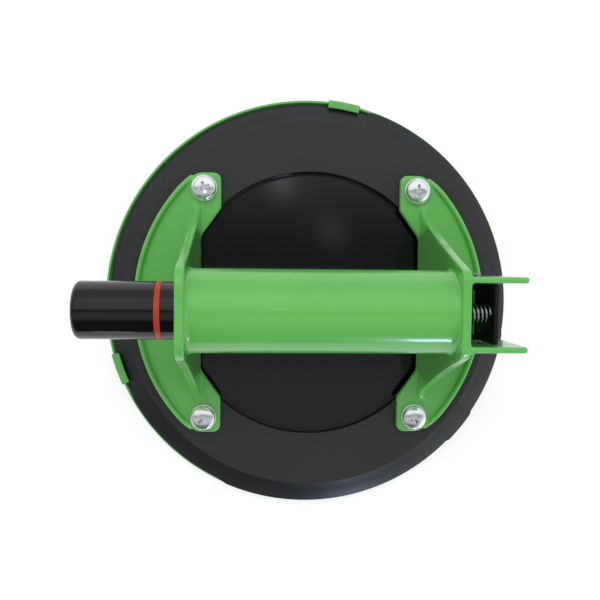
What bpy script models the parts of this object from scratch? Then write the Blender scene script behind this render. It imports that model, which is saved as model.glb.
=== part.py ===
"""Single suction cup lifter with a hand pump inside its grip.

A Blender 4.5 script in metres, +Z up. The origin is on the floor, under the middle of the
protective cover. +X points to the release lever, and the pump's plunger sticks out at -X.
The lifter stands on its pad, the pad stands in the cover, and three hooks hold the two together.
"""

import math

import bmesh
import bpy
from mathutils import Matrix, Vector

MM = 0.001

# Clearances
gap = 0.3 * MM  # between pieces that seat on each other
root = 1.0 * MM  # how far a joined shape or a cutter reaches past the surface it starts from
small_edge = 0.6 * MM  # rounding of moulded and machined edges
hinge_gap = 0.3 * MM  # radial, round the lever's pin
slide_gap = 0.3 * MM  # radial, round the plunger and the piston

# Protective cover
cover_floor = 1.8 * MM
cover_wall = 1.2 * MM
cover_rim_height = 4.2 * MM
hook_top = 6.8 * MM
hook_thickness = 1.4 * MM
hook_reach = 3.4 * MM  # from the cover's outside inwards, over the rubber
hook_stand = 0.5 * MM  # outside the cover's wall
hook_root_z = 1.3 * MM
hook_width = 16.0 * MM
cover_foot_edge = 0.8 * MM
hook_angles = (80.3, 199.7, 321.1)

# Rubber pad
pad_radius = 100.0 * MM
pad_height = 7.9 * MM  # from its sealing face to the flat under the plate's ring
pad_edge_thickness = 2.0 * MM
pad_seal_width = 8.0 * MM
pad_hollow_depth = 2.7 * MM
pad_hollow_slope = 5.0 * MM
pad_ledge = 0.6 * MM
pad_step = 0.8 * MM  # drop from the flat under the plate to the sloping lip

# Backing plate
pad_lip_width = 9.7 * MM  # of the pad, past the plate
plate_radius = pad_radius - pad_lip_width
plate_thickness = 4.0 * MM
plate_floor = 1.7 * MM
plate_edge_chamfer = 1.5 * MM
plate_ring_width = 25.5 * MM
recess_radius = plate_radius - plate_ring_width
recess_depth = 4.3 * MM
recess_slope = 2.6 * MM

# Feet of the two end brackets
foot_thickness = 4.0 * MM
foot_inset = 5.0 * MM  # from the plate's edge
foot_radius = plate_radius - foot_inset
foot_waist_y = 32.6 * MM
foot_corner_radius = 3.5 * MM
foot_neck_radius = 6.0 * MM
foot_edge = 0.8 * MM
lip_width = 2.4 * MM
lip_height = 3.0 * MM

# Screws, washers and inserts, on a circle inside the feet's outer arc
screw_inset = 9.3 * MM
screw_angle = 47.03
screw_x = (foot_radius - screw_inset) * math.cos(math.radians(screw_angle))
screw_y = (foot_radius - screw_inset) * math.sin(math.radians(screw_angle))
tab_side = 8.2 * MM  # from the screw's axis to the tab's inner side
tab_end = 7.7 * MM
tab_length = 17.3 * MM
foot_inner_x = screw_x - tab_side
foot_half_length = screw_y + tab_end
tab_corner_y = foot_half_length - tab_length
screw_radius = 3.0 * MM
screw_hole_gap = 0.3 * MM
head_radius = 6.0 * MM
head_height = 4.0 * MM
head_rim = 1.0 * MM
screw_tip_depth = 0.2 * MM  # the screw ends this far above the insert's foot
recess_span = 6.2 * MM
recess_slot = 1.2 * MM
drive_depth = 1.7 * MM
washer_radius = 6.3 * MM
washer_thickness = 1.2 * MM
insert_radius = 4.5 * MM
insert_flange_radius = 6.5 * MM
insert_flange = 1.2 * MM

# Leg webs of the two end brackets
grip_z = 73.0 * MM  # axis of the grip and the pump
web_inner_x = 53.4 * MM  # at the foot's top
web_thickness = 3.8 * MM
web_lean = 0.0175  # outwards per unit of height, the casting's draft
web_top_rise = 19.8 * MM  # above the grip's axis
web_top_z = grip_z + web_top_rise
web_top_half_width = 17.0 * MM
web_knee_z = 58.0 * MM
web_knee_half_width = 28.8 * MM
web_foot_half_width = 45.5 * MM
web_corner_radius = 5.0 * MM
web_knee_radius = 40.0 * MM
cast_edge = 1.0 * MM  # rounding of the cast edges
cast_fillet = 3.0 * MM  # in the corners between web, foot and ears

# Grip and pump, all on one axis along X
plunger_radius = 12.0 * MM
collar_step = 1.6 * MM  # how far the collar stands out from the plunger
collar_radius = plunger_radius + collar_step
pump_room = 5.5 * MM  # for the bush, the cylinder's wall and the grip's wall round the plunger
grip_radius = plunger_radius + pump_room
grip_wall = 1.5 * MM
spigot_length = 2.6 * MM
collar_fillet = 4.0 * MM  # flare of the cast collar round each end of the grip
collar_lip = 0.3 * MM  # thickness of the collar's thin end
tuck = 0.1 * MM  # how far a fillet ends inside the wall it meets
cylinder_wall = 1.7 * MM
plunger_tip_x = -100.3 * MM
plunger_tip_rounding = 4.0 * MM
plunger_wall = 2.5 * MM
plunger_bore_radius = plunger_radius - plunger_wall
plunger_end_wall = 3.8 * MM
ring_x = -65.35 * MM
ring_width = 3.1 * MM
ring_thickness = 0.8 * MM
collar_length = 2.7 * MM
bush_length = 11.1 * MM
bush_flange_width = 0.4 * MM
wiper_length = 3.2 * MM
wiper_thickness = 0.8 * MM
rod_radius = 5.0 * MM
rod_plug_length = 17.0 * MM
rod_pin_radius = 1.25 * MM
rod_thread_radius = 3.0 * MM
plunger_stroke = 34.0 * MM
piston_length = 8.0 * MM
piston_groove = 3.6 * MM
piston_groove_depth = 2.3 * MM
piston_play = 0.5 * MM  # radial, its seal bridges it
nut_thickness = 4.0 * MM
nut_across_flats = 10.0 * MM
rod_tail = 0.7 * MM  # thread past the nut
rod_pin_recess = 0.6 * MM  # how deep the pin's ends lie in the plunger
plug_face_x = 41.0 * MM
plug_wall = 2.5 * MM
plug_chamber_radius = 4.5 * MM
plug_chamber_length = 3.5 * MM
plug_groove_offset = 4.0 * MM
plug_seal_minor = 0.8 * MM
plug_vents = 4
plug_vent_radius = 0.8 * MM
nipple_radius = 3.0 * MM
nipple_end_x = 60.6 * MM
nipple_bore = 1.5 * MM
valve_cap_radius = 5.0 * MM
valve_stem_radius = 1.1 * MM
valve_barb = 1.1 * MM
valve_rise = 1.4 * MM
pump_wire = 0.65 * MM
pump_spring_radius = 11.4 * MM
pump_spring_turns = 7
pump_spring_spare = 1.9 * MM  # left between the coils when the plunger is pressed home

# Guard ears of the right bracket
ear_inner_y = 12.7 * MM
ear_thickness = 2.5 * MM
ear_tip_x = 81.6 * MM
ear_tip_low_z = 60.5 * MM
ear_root_low_z = 33.0 * MM
ear_low_radius = 3.0 * MM
ear_top_radius = 2.2 * MM

# Release lever, its pin and its spring
pin_x = 65.0 * MM
pin_drop = 1.0 * MM  # below the grip's axis
pin_z = grip_z - pin_drop
pin_radius = 1.6 * MM
pin_head_radius = 2.9 * MM
pin_head = 1.1 * MM
clip_thickness = 0.6 * MM
clip_radius = 3.2 * MM
clip_groove = 0.4 * MM
clip_mouth = 2.4 * MM
pin_tail = 0.9 * MM
lever_inner_x = 68.4 * MM
lever_thickness = 1.6 * MM
lever_half_width = 12.2 * MM
lever_bottom_z = 44.5 * MM
lever_arm_half_width = 7.0 * MM
lever_shoulder_z = 60.0 * MM
lever_shoulder_drop = 4.0 * MM
lever_top_radius = 2.0 * MM
lever_arm_radius = 3.0 * MM
lever_edge = 0.4 * MM
flange_inner_y = 9.5 * MM
flange_thickness = 1.8 * MM
flange_half_height = 11.0 * MM
flange_eye_radius = 3.6 * MM
spring_rise = 12.0 * MM  # of its axis, above the pin
spring_z = pin_z + spring_rise
lever_tip = 6.3 * MM  # of the lever, above the spring's axis
lever_top_z = spring_z + lever_tip
spring_radius = 3.6 * MM
spring_wire = 0.5 * MM
spring_turns = 4.5
peg_radius = 2.6 * MM
peg_length = 1.5 * MM

# Valve housing behind the lever
housing_half_width = 8.5 * MM
housing_back_x = 58.7 * MM
column_front_x = 62.9 * MM
housing_nose = 8.0 * MM  # past the port's axis
housing_base_top_z = 24.0 * MM
housing_shoulder_z = 38.0 * MM
housing_cap = 6.2 * MM  # above the grip's axis
housing_top_z = grip_z + housing_cap
housing_nose_radius = 2.0 * MM
housing_bend_radius = 6.0 * MM
port_inset = 17.3 * MM  # from the plate's edge
port_x = plate_radius - port_inset
housing_base_x = port_x + housing_nose
port_spigot_radius = 3.7 * MM
port_spigot_depth = 4.0 * MM
port_seal_minor = 1.0 * MM
passage_radius = 1.2 * MM
vent_z = 50.0 * MM
vent_seat_radius = 3.0 * MM
vent_seat_height = 0.6 * MM
vent_seal_radius = 5.0 * MM
filter_radius = 4.7 * MM
filter_height = 4.6 * MM

# Levels that follow from the sizes above
pad_bottom_z = cover_floor + gap
pad_top_z = pad_bottom_z + pad_height
plate_bottom_z = pad_top_z + gap
plate_top_z = plate_bottom_z + plate_thickness
recess_floor_z = plate_top_z - recess_depth
recess_under_z = recess_floor_z - plate_floor
foot_bottom_z = plate_top_z + gap
foot_top_z = foot_bottom_z + foot_thickness
washer_bottom_z = foot_top_z + gap
head_bottom_z = washer_bottom_z + washer_thickness + gap
insert_top_z = plate_top_z - gap
insert_flange_top_z = pad_top_z
insert_bottom_z = insert_flange_top_z - insert_flange
cylinder_outer_radius = grip_radius - grip_wall - gap
cylinder_bore_radius = cylinder_outer_radius - cylinder_wall
spigot_end_x = web_inner_x + web_lean * (grip_z - grip_radius - foot_top_z) - spigot_length
cylinder_end_x = spigot_end_x - gap
bush_seat_x = spigot_end_x + spigot_length
bush_flange_radius = cylinder_bore_radius + bush_flange_width
bush_bore_radius = plunger_radius + slide_gap
bush_end_x = -bush_seat_x + gap + bush_length
wiper_outer_radius = bush_bore_radius + wiper_thickness
collar_x = bush_end_x + gap
pressed_spring_length = 2 * pump_wire * pump_spring_turns + pump_spring_spare
piston_end_x = plug_face_x - plunger_stroke - pressed_spring_length
piston_x = piston_end_x - piston_length
piston_radius = cylinder_bore_radius - piston_play
piston_groove_low = piston_x + (piston_length - piston_groove) / 2
piston_groove_high = piston_groove_low + piston_groove
piston_groove_floor = piston_radius - piston_groove_depth
plunger_back_x = collar_x + collar_length
rod_pin_place = (plunger_back_x - rod_plug_length / 2, 0, grip_z)
plug_radius = cylinder_bore_radius - gap
plug_chamber_x = plug_face_x + plug_wall
ear_outer_y = ear_inner_y + ear_thickness
web_outer_x = web_inner_x + web_thickness

# Facets of round shapes
disc_steps = 48
barrel_steps = 28
inner_steps = 16
head_steps = 14
small_steps = 12
foot_steps = 14
coil_steps = 10

on_grip = {"axis": "X", "place": (0, 0, grip_z), "steps": inner_steps}


def web_shift(z):
    """How far the leaning web stands outside its place at the foot's top."""
    return web_lean * (z - foot_top_z)


def clear_scene():
    for obj in list(bpy.data.objects):
        bpy.data.objects.remove(obj, do_unlink=True)


def new_collection(name):
    collection = bpy.data.collections.new(name)
    bpy.context.scene.collection.children.link(collection)
    return collection


def finish(name, colour, roughness, metallic=0.0, coat=0.0):
    """A plain Principled material in the colour, roughness and metal of one sub-part."""
    material = bpy.data.materials.new(name)
    material.use_nodes = True
    shader = material.node_tree.nodes["Principled BSDF"]
    shader.inputs["Base Color"].default_value = (*colour, 1.0)
    shader.inputs["Roughness"].default_value = roughness
    shader.inputs["Metallic"].default_value = metallic
    shader.inputs["Coat Weight"].default_value = coat
    material.diffuse_color = (*colour, 1.0)
    return material


def paint_green(name):
    return finish(name, (0.11, 0.45, 0.08), 0.22, coat=0.5)


def black_plastic(name):
    return finish(name, (0.012, 0.012, 0.014), 0.25)


def black_rubber(name):
    return finish(name, (0.02, 0.02, 0.022), 0.6)


def plated_steel(name):
    return finish(name, (0.72, 0.72, 0.74), 0.22, metallic=1.0)


def add_object(name, mesh, collection, material=None):
    obj = bpy.data.objects.new(name, mesh)
    collection.objects.link(obj)
    if material:
        mesh.materials.append(material)
    if collection is helpers:
        obj.hide_render = True
        obj.display_type = "WIRE"
    return obj


def arc(radius, start, end, steps, centre=(0.0, 0.0)):
    """Points on an arc, in degrees from the first axis towards the second."""
    turn = [math.radians(start + (end - start) * i / steps) for i in range(steps + 1)]
    return [(centre[0] + radius * math.cos(a), centre[1] + radius * math.sin(a)) for a in turn]


def rounded(points, radii, steps=3):
    """A closed outline with each corner replaced by an arc of its radius, where that isn't zero."""
    outline = []
    for i, corner in enumerate(points):
        radius = radii[i]
        here = Vector(corner)
        if radius == 0:
            outline.append(corner)
            continue
        before = (Vector(points[i - 1]) - here).normalized()
        after = (Vector(points[(i + 1) % len(points)]) - here).normalized()
        half = before.angle(after) / 2
        reach = radius / math.tan(half)
        centre = here + (before + after).normalized() * (radius / math.sin(half))
        first = here + before * reach - centre
        sweep = first.angle_signed(here + after * reach - centre)
        for step in range(steps + 1):
            outline.append(tuple(centre + Matrix.Rotation(-sweep * step / steps, 2) @ first))
    return outline


AXIS_TURN = {"X": (0.0, math.pi / 2, 0.0), "Y": (-math.pi / 2, 0.0, 0.0), "Z": (0.0, 0.0, 0.0)}


def turned(name, profile, collection, material=None, axis="Z", place=(0, 0, 0), steps=small_steps):
    """A turned solid. The profile is (radius, distance along the axis) points that run down the
    outer side; it is closed to a ring unless it starts and ends on the axis."""
    mesh = bpy.data.meshes.new(name)
    points = [(radius, 0.0, along) for radius, along in profile]
    edges = [(i, i + 1) for i in range(len(points) - 1)]
    if profile[0][0] > 0:
        edges.append((len(points) - 1, 0))
    mesh.from_pydata(points, edges, [])
    obj = add_object(name, mesh, collection, material)
    obj.location = place
    obj.rotation_euler = AXIS_TURN[axis]
    screw = obj.modifiers.new("Turn", "SCREW")
    screw.axis = "Z"
    screw.angle = 2 * math.pi
    screw.steps = steps
    screw.render_steps = steps
    screw.use_merge_vertices = True
    screw.merge_threshold = 0.00001
    screw.use_smooth_shade = True
    return obj


def tube_profile(outer, inner, low, high):
    """A plain ring's section, run down its outer side."""
    return [(outer, high), (outer, low), (inner, low), (inner, high)]


def cylinder(name, radius, low, high, collection, material=None, **along):
    """A plain round bar from low to high along its axis."""
    profile = [(0.0, high), (radius, high), (radius, low), (0.0, low)]
    return turned(name, profile, collection, material, **along)


def box(name, low, high, collection):
    mesh = bpy.data.meshes.new(name)
    shape = bmesh.new()
    bmesh.ops.create_cube(shape, size=1.0)
    size = Vector(high) - Vector(low)
    bmesh.ops.scale(shape, vec=size, verts=shape.verts)
    bmesh.ops.translate(shape, vec=(Vector(high) + Vector(low)) / 2, verts=shape.verts)
    shape.to_mesh(mesh)
    shape.free()
    return add_object(name, mesh, collection)


PLATE_AXES = {
    "Z": Matrix(((1, 0, 0), (0, 1, 0), (0, 0, 1))),
    "X": Matrix(((0, 0, 1), (1, 0, 0), (0, 1, 0))),
    "Y": Matrix(((1, 0, 0), (0, 0, -1), (0, 1, 0))),
}


def plate(name, outline, low, high, collection, material=None, normal="Z", edge=0.0, edge_steps=1):
    """A flat plate of this outline between two levels along its normal: a filled 2D curve made a mesh.
    The outline is (x, y) for normal Z, (y, z) for normal X and (x, z) for normal Y."""
    curve = bpy.data.curves.new(name, "CURVE")
    curve.dimensions = "2D"
    curve.fill_mode = "BOTH"
    curve.extrude = (high - low) / 2
    spline = curve.splines.new("POLY")
    spline.points.add(len(outline) - 1)
    for point, (u, v) in zip(spline.points, outline):
        point.co = (u, v, 0.0, 1.0)
    spline.use_cyclic_u = True
    guide = bpy.data.objects.new(name, curve)
    helpers.objects.link(guide)
    graph = bpy.context.evaluated_depsgraph_get()
    mesh = bpy.data.meshes.new_from_object(guide.evaluated_get(graph))
    bpy.data.objects.remove(guide, do_unlink=True)
    shape = bmesh.new()
    shape.from_mesh(mesh)
    bmesh.ops.remove_doubles(shape, verts=shape.verts, dist=0.000001)
    bmesh.ops.transform(shape, matrix=PLATE_AXES[normal].to_4x4(), verts=shape.verts)
    middle = PLATE_AXES[normal] @ Vector((0.0, 0.0, (low + high) / 2))
    if normal == "Y":
        middle = -middle
    bmesh.ops.translate(shape, vec=middle, verts=shape.verts)
    bmesh.ops.recalc_face_normals(shape, faces=shape.faces)
    shape.to_mesh(mesh)
    shape.free()
    mesh.name = name
    obj = add_object(name, mesh, collection, material)
    if edge:
        bevel = obj.modifiers.new("Edges", "BEVEL")
        bevel.width = edge
        bevel.segments = edge_steps
        bevel.limit_method = "ANGLE"
        bevel.angle_limit = math.radians(50)
    return obj


def swept(name, profile, start, end, steps, collection, material=None):
    """A closed (radius, height) profile turned round Z from one angle to another, with both ends capped."""
    mesh = bpy.data.meshes.new(name)
    shape = bmesh.new()
    first = Matrix.Rotation(math.radians(start), 3, "Z")
    corners = [shape.verts.new(first @ Vector((radius, 0.0, height))) for radius, height in profile]
    face = shape.faces.new(corners)
    bmesh.ops.spin(
        shape,
        geom=[face, *face.edges, *face.verts],
        cent=(0, 0, 0),
        axis=(0, 0, 1),
        angle=math.radians(end - start),
        steps=steps,
    )
    bmesh.ops.recalc_face_normals(shape, faces=shape.faces)
    shape.to_mesh(mesh)
    shape.free()
    return add_object(name, mesh, collection, material)


def coil(name, radius, wire, start, end, turns, height, collection, material):
    """A compression spring along X, as a bevelled poly curve with filled caps."""
    curve = bpy.data.curves.new(name, "CURVE")
    curve.dimensions = "3D"
    curve.bevel_depth = wire
    curve.bevel_resolution = 1
    curve.use_fill_caps = True
    count = int(turns * coil_steps)
    spline = curve.splines.new("POLY")
    spline.points.add(count)
    for i, point in enumerate(spline.points):
        angle = 2 * math.pi * turns * i / count
        x = start + (end - start) * i / count
        point.co = (x, radius * math.cos(angle), height + radius * math.sin(angle), 1.0)
    curve.materials.append(material)
    obj = bpy.data.objects.new(name, curve)
    collection.objects.link(obj)
    return obj


# The exact solver leaves split rims on these, where one round cut follows another.
manifold_solved = {"backing_plate", "left_bracket", "right_bracket", "rubber_pad", "valve_housing"}


def combine(target, operand, operation):
    modifier = target.modifiers.new(f"{operation.title()} {operand.name}", "BOOLEAN")
    modifier.operation = operation
    modifier.object = operand
    modifier.solver = "MANIFOLD" if target.name in manifold_solved else "EXACT"


def join(target, *operands):
    for operand in operands:
        combine(target, operand, "UNION")


def cut(target, *operands):
    for operand in operands:
        combine(target, operand, "DIFFERENCE")


def mirrored(outline):
    """The other half of an outline that is symmetric in its first coordinate, in closing order."""
    return [(-u, v) for u, v in reversed(outline)]


def add_cover():
    """Green dish that keeps dirt and dents off the rubber, with three hooks on its rim."""
    outer = pad_radius + gap + cover_wall
    inner = pad_radius + gap
    profile = [
        (0.0, cover_floor),
        (inner, cover_floor),
        (inner, cover_rim_height),
        (outer, cover_rim_height),
        (outer, cover_foot_edge),
        (outer - cover_foot_edge, 0.0),
        (0.0, 0.0),
    ]
    material = paint_green("Green cover plastic")
    cover = turned("protective_cover", profile, parts, material, steps=disc_steps)
    hook_profile = [
        (outer + hook_stand, hook_root_z),
        (outer + hook_stand, hook_top),
        (outer - hook_reach, hook_top),
        (outer - hook_reach, hook_top - hook_thickness),
        (inner, hook_top - hook_thickness),
        (inner, hook_root_z),
    ]
    half = math.degrees(hook_width / outer) / 2
    hook_steps = 4
    for number, angle in enumerate(hook_angles, 1):
        hook = swept(f"hook_{number}", hook_profile, angle - half, angle + half, hook_steps, helpers)
        join(cover, hook)
    return cover


def add_pad():
    """Rubber disc: flat sealing rim, shallow vacuum hollow, sloping lip and a port for the pump."""
    hollow_radius = pad_radius - pad_seal_width
    hollow_z = pad_bottom_z + pad_hollow_depth
    profile = [
        (0.0, recess_under_z - gap),
        (recess_radius - recess_slope, recess_under_z - gap),
        (recess_radius, pad_top_z),
        (plate_radius + pad_ledge, pad_top_z),
        (plate_radius + pad_ledge, pad_top_z - pad_step),
        (pad_radius - pad_ledge, pad_bottom_z + pad_edge_thickness),
        (pad_radius, pad_bottom_z + pad_edge_thickness - pad_ledge),
        (pad_radius, pad_bottom_z),
        (hollow_radius, pad_bottom_z),
        (hollow_radius - pad_hollow_slope, hollow_z),
        (0.0, hollow_z),
    ]
    pad = turned("rubber_pad", profile, parts, black_rubber("Black pad rubber"), steps=disc_steps)
    port = cylinder("pad_port", filter_radius + gap, 0.0, plate_top_z, helpers, place=(port_x, 0, 0))
    cut(pad, port)
    radius = insert_flange_radius + gap
    low = insert_bottom_z - gap
    for number, (x, y) in enumerate(screw_places(), 1):
        pocket = cylinder(f"insert_pocket_{number}", radius, low, plate_top_z, helpers, place=(x, y, 0))
        cut(pad, pocket)
    return pad


def screw_places():
    return [(-screw_x, screw_y), (screw_x, screw_y), (-screw_x, -screw_y), (screw_x, -screw_y)]


def add_backing_plate():
    """Stiff plate on the rubber: a raised ring that carries the feet, round a lower floor."""
    profile = [
        (0.0, recess_floor_z),
        (recess_radius - recess_slope, recess_floor_z),
        (recess_radius, plate_top_z),
        (plate_radius - plate_edge_chamfer, plate_top_z),
        (plate_radius, plate_top_z - plate_edge_chamfer),
        (plate_radius, plate_bottom_z),
        (recess_radius + gap, plate_bottom_z),
        (recess_radius - recess_slope + gap, recess_under_z),
        (0.0, recess_under_z),
    ]
    material = finish("Black plate lacquer", (0.018, 0.016, 0.016), 0.35)
    disc = turned("backing_plate", profile, parts, material, steps=disc_steps)
    port_radius = port_spigot_radius + gap
    port = cylinder("plate_port", port_radius, 0.0, foot_top_z, helpers, place=(port_x, 0, 0))
    seal_outer = port_radius + 2 * port_seal_minor + gap
    seat_z = plate_top_z - 2 * port_seal_minor - gap
    seal_seat = cylinder("port_seal_seat", seal_outer, seat_z, foot_top_z, helpers, place=(port_x, 0, 0))
    cut(disc, port, seal_seat)
    radius = insert_radius + gap
    for number, (x, y) in enumerate(screw_places(), 1):
        cut(disc, cylinder(f"insert_hole_{number}", radius, 0.0, foot_top_z, helpers, place=(x, y, 0)))
    return disc


def add_pad_filter():
    """Foam disc that keeps dust out of the pump, in the pad's port."""
    low = pad_top_z - gap - filter_height
    material = finish("Grey filter foam", (0.16, 0.16, 0.15), 0.95)
    size = (filter_radius, low, low + filter_height)
    return cylinder("pad_filter", *size, parts, material, place=(port_x, 0, 0))


def torus_profile(major, minor, middle, steps=8):
    """An O-ring's section, run down its outer side."""
    return [(r, h) for r, h in reversed(arc(minor, 0, 360 - 360 / steps, steps - 1, (major, middle)))]


def add_port_seal():
    """O-ring between the valve housing's spigot and the plate."""
    major = port_spigot_radius + gap + port_seal_minor
    profile = torus_profile(major, port_seal_minor, plate_top_z - port_seal_minor)
    return turned("port_seal", profile, parts, black_rubber("Port seal rubber"), place=(port_x, 0, 0))


def add_fasteners():
    """Four pan-head screws through washers and feet into flanged inserts held in the plate."""
    for number, (x, y) in enumerate(screw_places(), 1):
        add_screw(number, x, y)
        add_washer(number, x, y)
        add_insert(number, x, y)


def add_screw(number, x, y):
    head_top = head_bottom_z + head_height
    dome = head_height - head_rim
    tip_z = insert_bottom_z + screw_tip_depth
    profile = [
        *((head_radius * u, head_top - dome + dome * v) for v, u in arc(1.0, 0, 90, 4)),
        (head_radius, head_bottom_z),
        (screw_radius, head_bottom_z),
        (screw_radius, tip_z + small_edge),
        (screw_radius - small_edge, tip_z),
        (0.0, tip_z),
    ]
    material = plated_steel(f"Screw plating {number}")
    screw = turned(f"foot_screw_{number}", profile, parts, material, place=(x, y, 0), steps=head_steps)
    long, short = recess_span / 2, recess_slot / 2
    low, high = head_top - drive_depth, head_top + root
    drive = box(f"drive_slot_{number}", (x - long, y - short, low), (x + long, y + short, high), helpers)
    cross = box(f"drive_cross_{number}", (x - short, y - long, low), (x + short, y + long, high), helpers)
    cut(screw, drive, cross)


def add_washer(number, x, y):
    bore = screw_radius + screw_hole_gap
    top_z = washer_bottom_z + washer_thickness
    profile = tube_profile(washer_radius, bore, washer_bottom_z, top_z)
    material = plated_steel(f"Washer plating {number}")
    turned(f"foot_washer_{number}", profile, parts, material, place=(x, y, 0), steps=head_steps)


def add_insert(number, x, y):
    bore = screw_radius + screw_hole_gap
    profile = [
        (insert_radius, insert_top_z),
        (insert_radius, insert_flange_top_z),
        (insert_flange_radius, insert_flange_top_z),
        (insert_flange_radius, insert_bottom_z),
        (bore, insert_bottom_z),
        (bore, insert_top_z),
    ]
    material = finish(f"Insert brass {number}", (0.6, 0.42, 0.16), 0.3, metallic=1.0)
    turned(f"plate_insert_{number}", profile, parts, material, place=(x, y, 0))


def foot_outline():
    """The right foot seen from above: arc outside, waist at the leg, a screw tab at each end."""
    end_angle = math.degrees(math.asin(foot_half_length / foot_radius))
    corner = foot_corner_radius
    inside = [
        (web_inner_x, -foot_waist_y),
        (foot_inner_x, -tab_corner_y),
        (foot_inner_x, -foot_half_length),
        (foot_radius * math.cos(math.radians(end_angle)), -foot_half_length),
    ]
    radii = [0, foot_neck_radius, corner, corner, 0, 0]
    lower = rounded([(web_inner_x, 0.0), *inside, (foot_radius, 0.0)], radii)[1:-1]
    outside = arc(foot_radius - lip_width / 2, -end_angle, end_angle, foot_steps)
    upper = [(x, -y) for x, y in reversed(lower)]
    return [*lower[:-1], *outside, *upper[1:]]


def flipped(outline, side):
    """The outline as it is at the right end, mirrored in X at the left end."""
    return outline if side > 0 else [(-u, v) for u, v in reversed(outline)]


def add_bracket(side, name):
    """One end bracket: foot with tabs and rounded lip, leaning leg web and the spigot in the grip."""
    along_grip = {"axis": "X", "place": (0, 0, grip_z), "steps": barrel_steps}
    foot_shape = flipped(foot_outline(), side)
    material = paint_green(f"Green paint {name}")
    bracket = plate(name, foot_shape, foot_bottom_z, foot_top_z, parts, material, edge=foot_edge)
    lip_top = foot_top_z + lip_height
    soft = lip_width / 2
    lip_profile = [
        (foot_radius - foot_edge, foot_bottom_z),
        (foot_radius, foot_bottom_z + foot_edge),
        *arc(soft, 0, 180, 4, (foot_radius - soft, lip_top - soft)),
        (foot_radius - lip_width, foot_bottom_z),
    ]
    reach = math.degrees(math.asin(foot_half_length / foot_radius))
    middle = 0 if side > 0 else 180
    lip = swept(f"{name}_lip", lip_profile, middle - reach, middle + reach, foot_steps, helpers)
    low, high = ordered(side, web_inner_x, web_outer_x)
    web = plate(f"{name}_web", web_outline(), low, high, helpers, normal="X", edge=cast_edge, edge_steps=2)
    for vertex in web.data.vertices:
        vertex.co.x += side * web_shift(vertex.co.z)
    low, high = ordered(side, spigot_end_x, web_inner_x + web_thickness / 2)
    spigot = cylinder(f"{name}_spigot", cylinder_outer_radius, low, high, helpers, **along_grip)
    join(bracket, lip, web, spigot, add_root_fillet(side, name), add_grip_collar(side, name))
    radius = screw_radius + screw_hole_gap
    for number, (x, y) in enumerate(screw_places(), 1):
        if x * side > 0:
            cut(bracket, cylinder(f"{name}_hole_{number}", radius, 0.0, web_knee_z, helpers, place=(x, y, 0)))
    return bracket


def add_root_fillet(side, name):
    """Cast fillet along the foot, outside the web. It ends a little inside both walls."""
    wall, floor = web_outer_x - tuck, foot_top_z - tuck
    bow = arc(cast_fillet, 180, 270, 4, (wall + cast_fillet, floor + cast_fillet))
    section = [(wall - root, floor - root), (wall - root, bow[0][1]), *bow, (bow[-1][0], floor - root)]
    half = web_foot_half_width - cast_fillet
    return plate(f"{name}_fillet", flipped(section, side), -half, half, helpers, normal="Y")


def add_grip_collar(side, name):
    """Cast collar round the grip's end: it flares into the web, and is cut flat under the web's top."""
    bore = grip_radius + gap
    thin = bore + collar_lip
    low = web_inner_x - collar_fillet
    bow = arc(collar_fillet, 90, 180, 3, (thin + collar_fillet, low))
    outside = [(thin + collar_fillet, web_inner_x + root), *bow]
    profile = [*outside, (bore, low), (bore, web_inner_x + root)]
    if side < 0:
        profile = [(radius, -x) for radius, x in reversed(profile)]
    along_grip = {"axis": "X", "place": (0, 0, grip_z), "steps": barrel_steps}
    collar = leaned(turned(f"{name}_collar", profile, helpers, **along_grip))
    reach = 2 * web_outer_x
    level = web_top_z - small_edge
    low, high = (-reach, -reach, level), (reach, reach, level + reach)
    cut(collar, box(f"{name}_collar_top", low, high, helpers))
    return collar


def ordered(side, near, far):
    """Two distances from the middle as a low and a high X, at the left or the right end."""
    return (near, far) if side > 0 else (-far, -near)


def web_outline():
    """The leg seen along X: wide at the foot, narrowing past a knee to the rounded top."""
    root_z = foot_bottom_z + foot_thickness / 2
    right = [
        (web_foot_half_width, root_z),
        (web_knee_half_width, web_knee_z),
        (web_top_half_width, web_top_z),
    ]
    points = [*right, *mirrored(right)]
    radii = [0, web_knee_radius, web_corner_radius, web_corner_radius, web_knee_radius, 0]
    return rounded(points, radii)


def add_left_bracket():
    """Plunger end: the leg is bored for the wiper, the spigot for the guide bush's flange."""
    along = {"axis": "X", "place": (0, 0, grip_z), "steps": barrel_steps}
    bracket = add_bracket(-1, "left_bracket")
    seat = cylinder("bush_seat", bush_flange_radius + gap, -bush_seat_x, 0.0, helpers, **along)
    bore = cylinder("plunger_exit", wiper_outer_radius + gap, 2 * -web_outer_x, 0.0, helpers, **along)
    cut(bracket, seat, bore)
    return bracket


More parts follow.
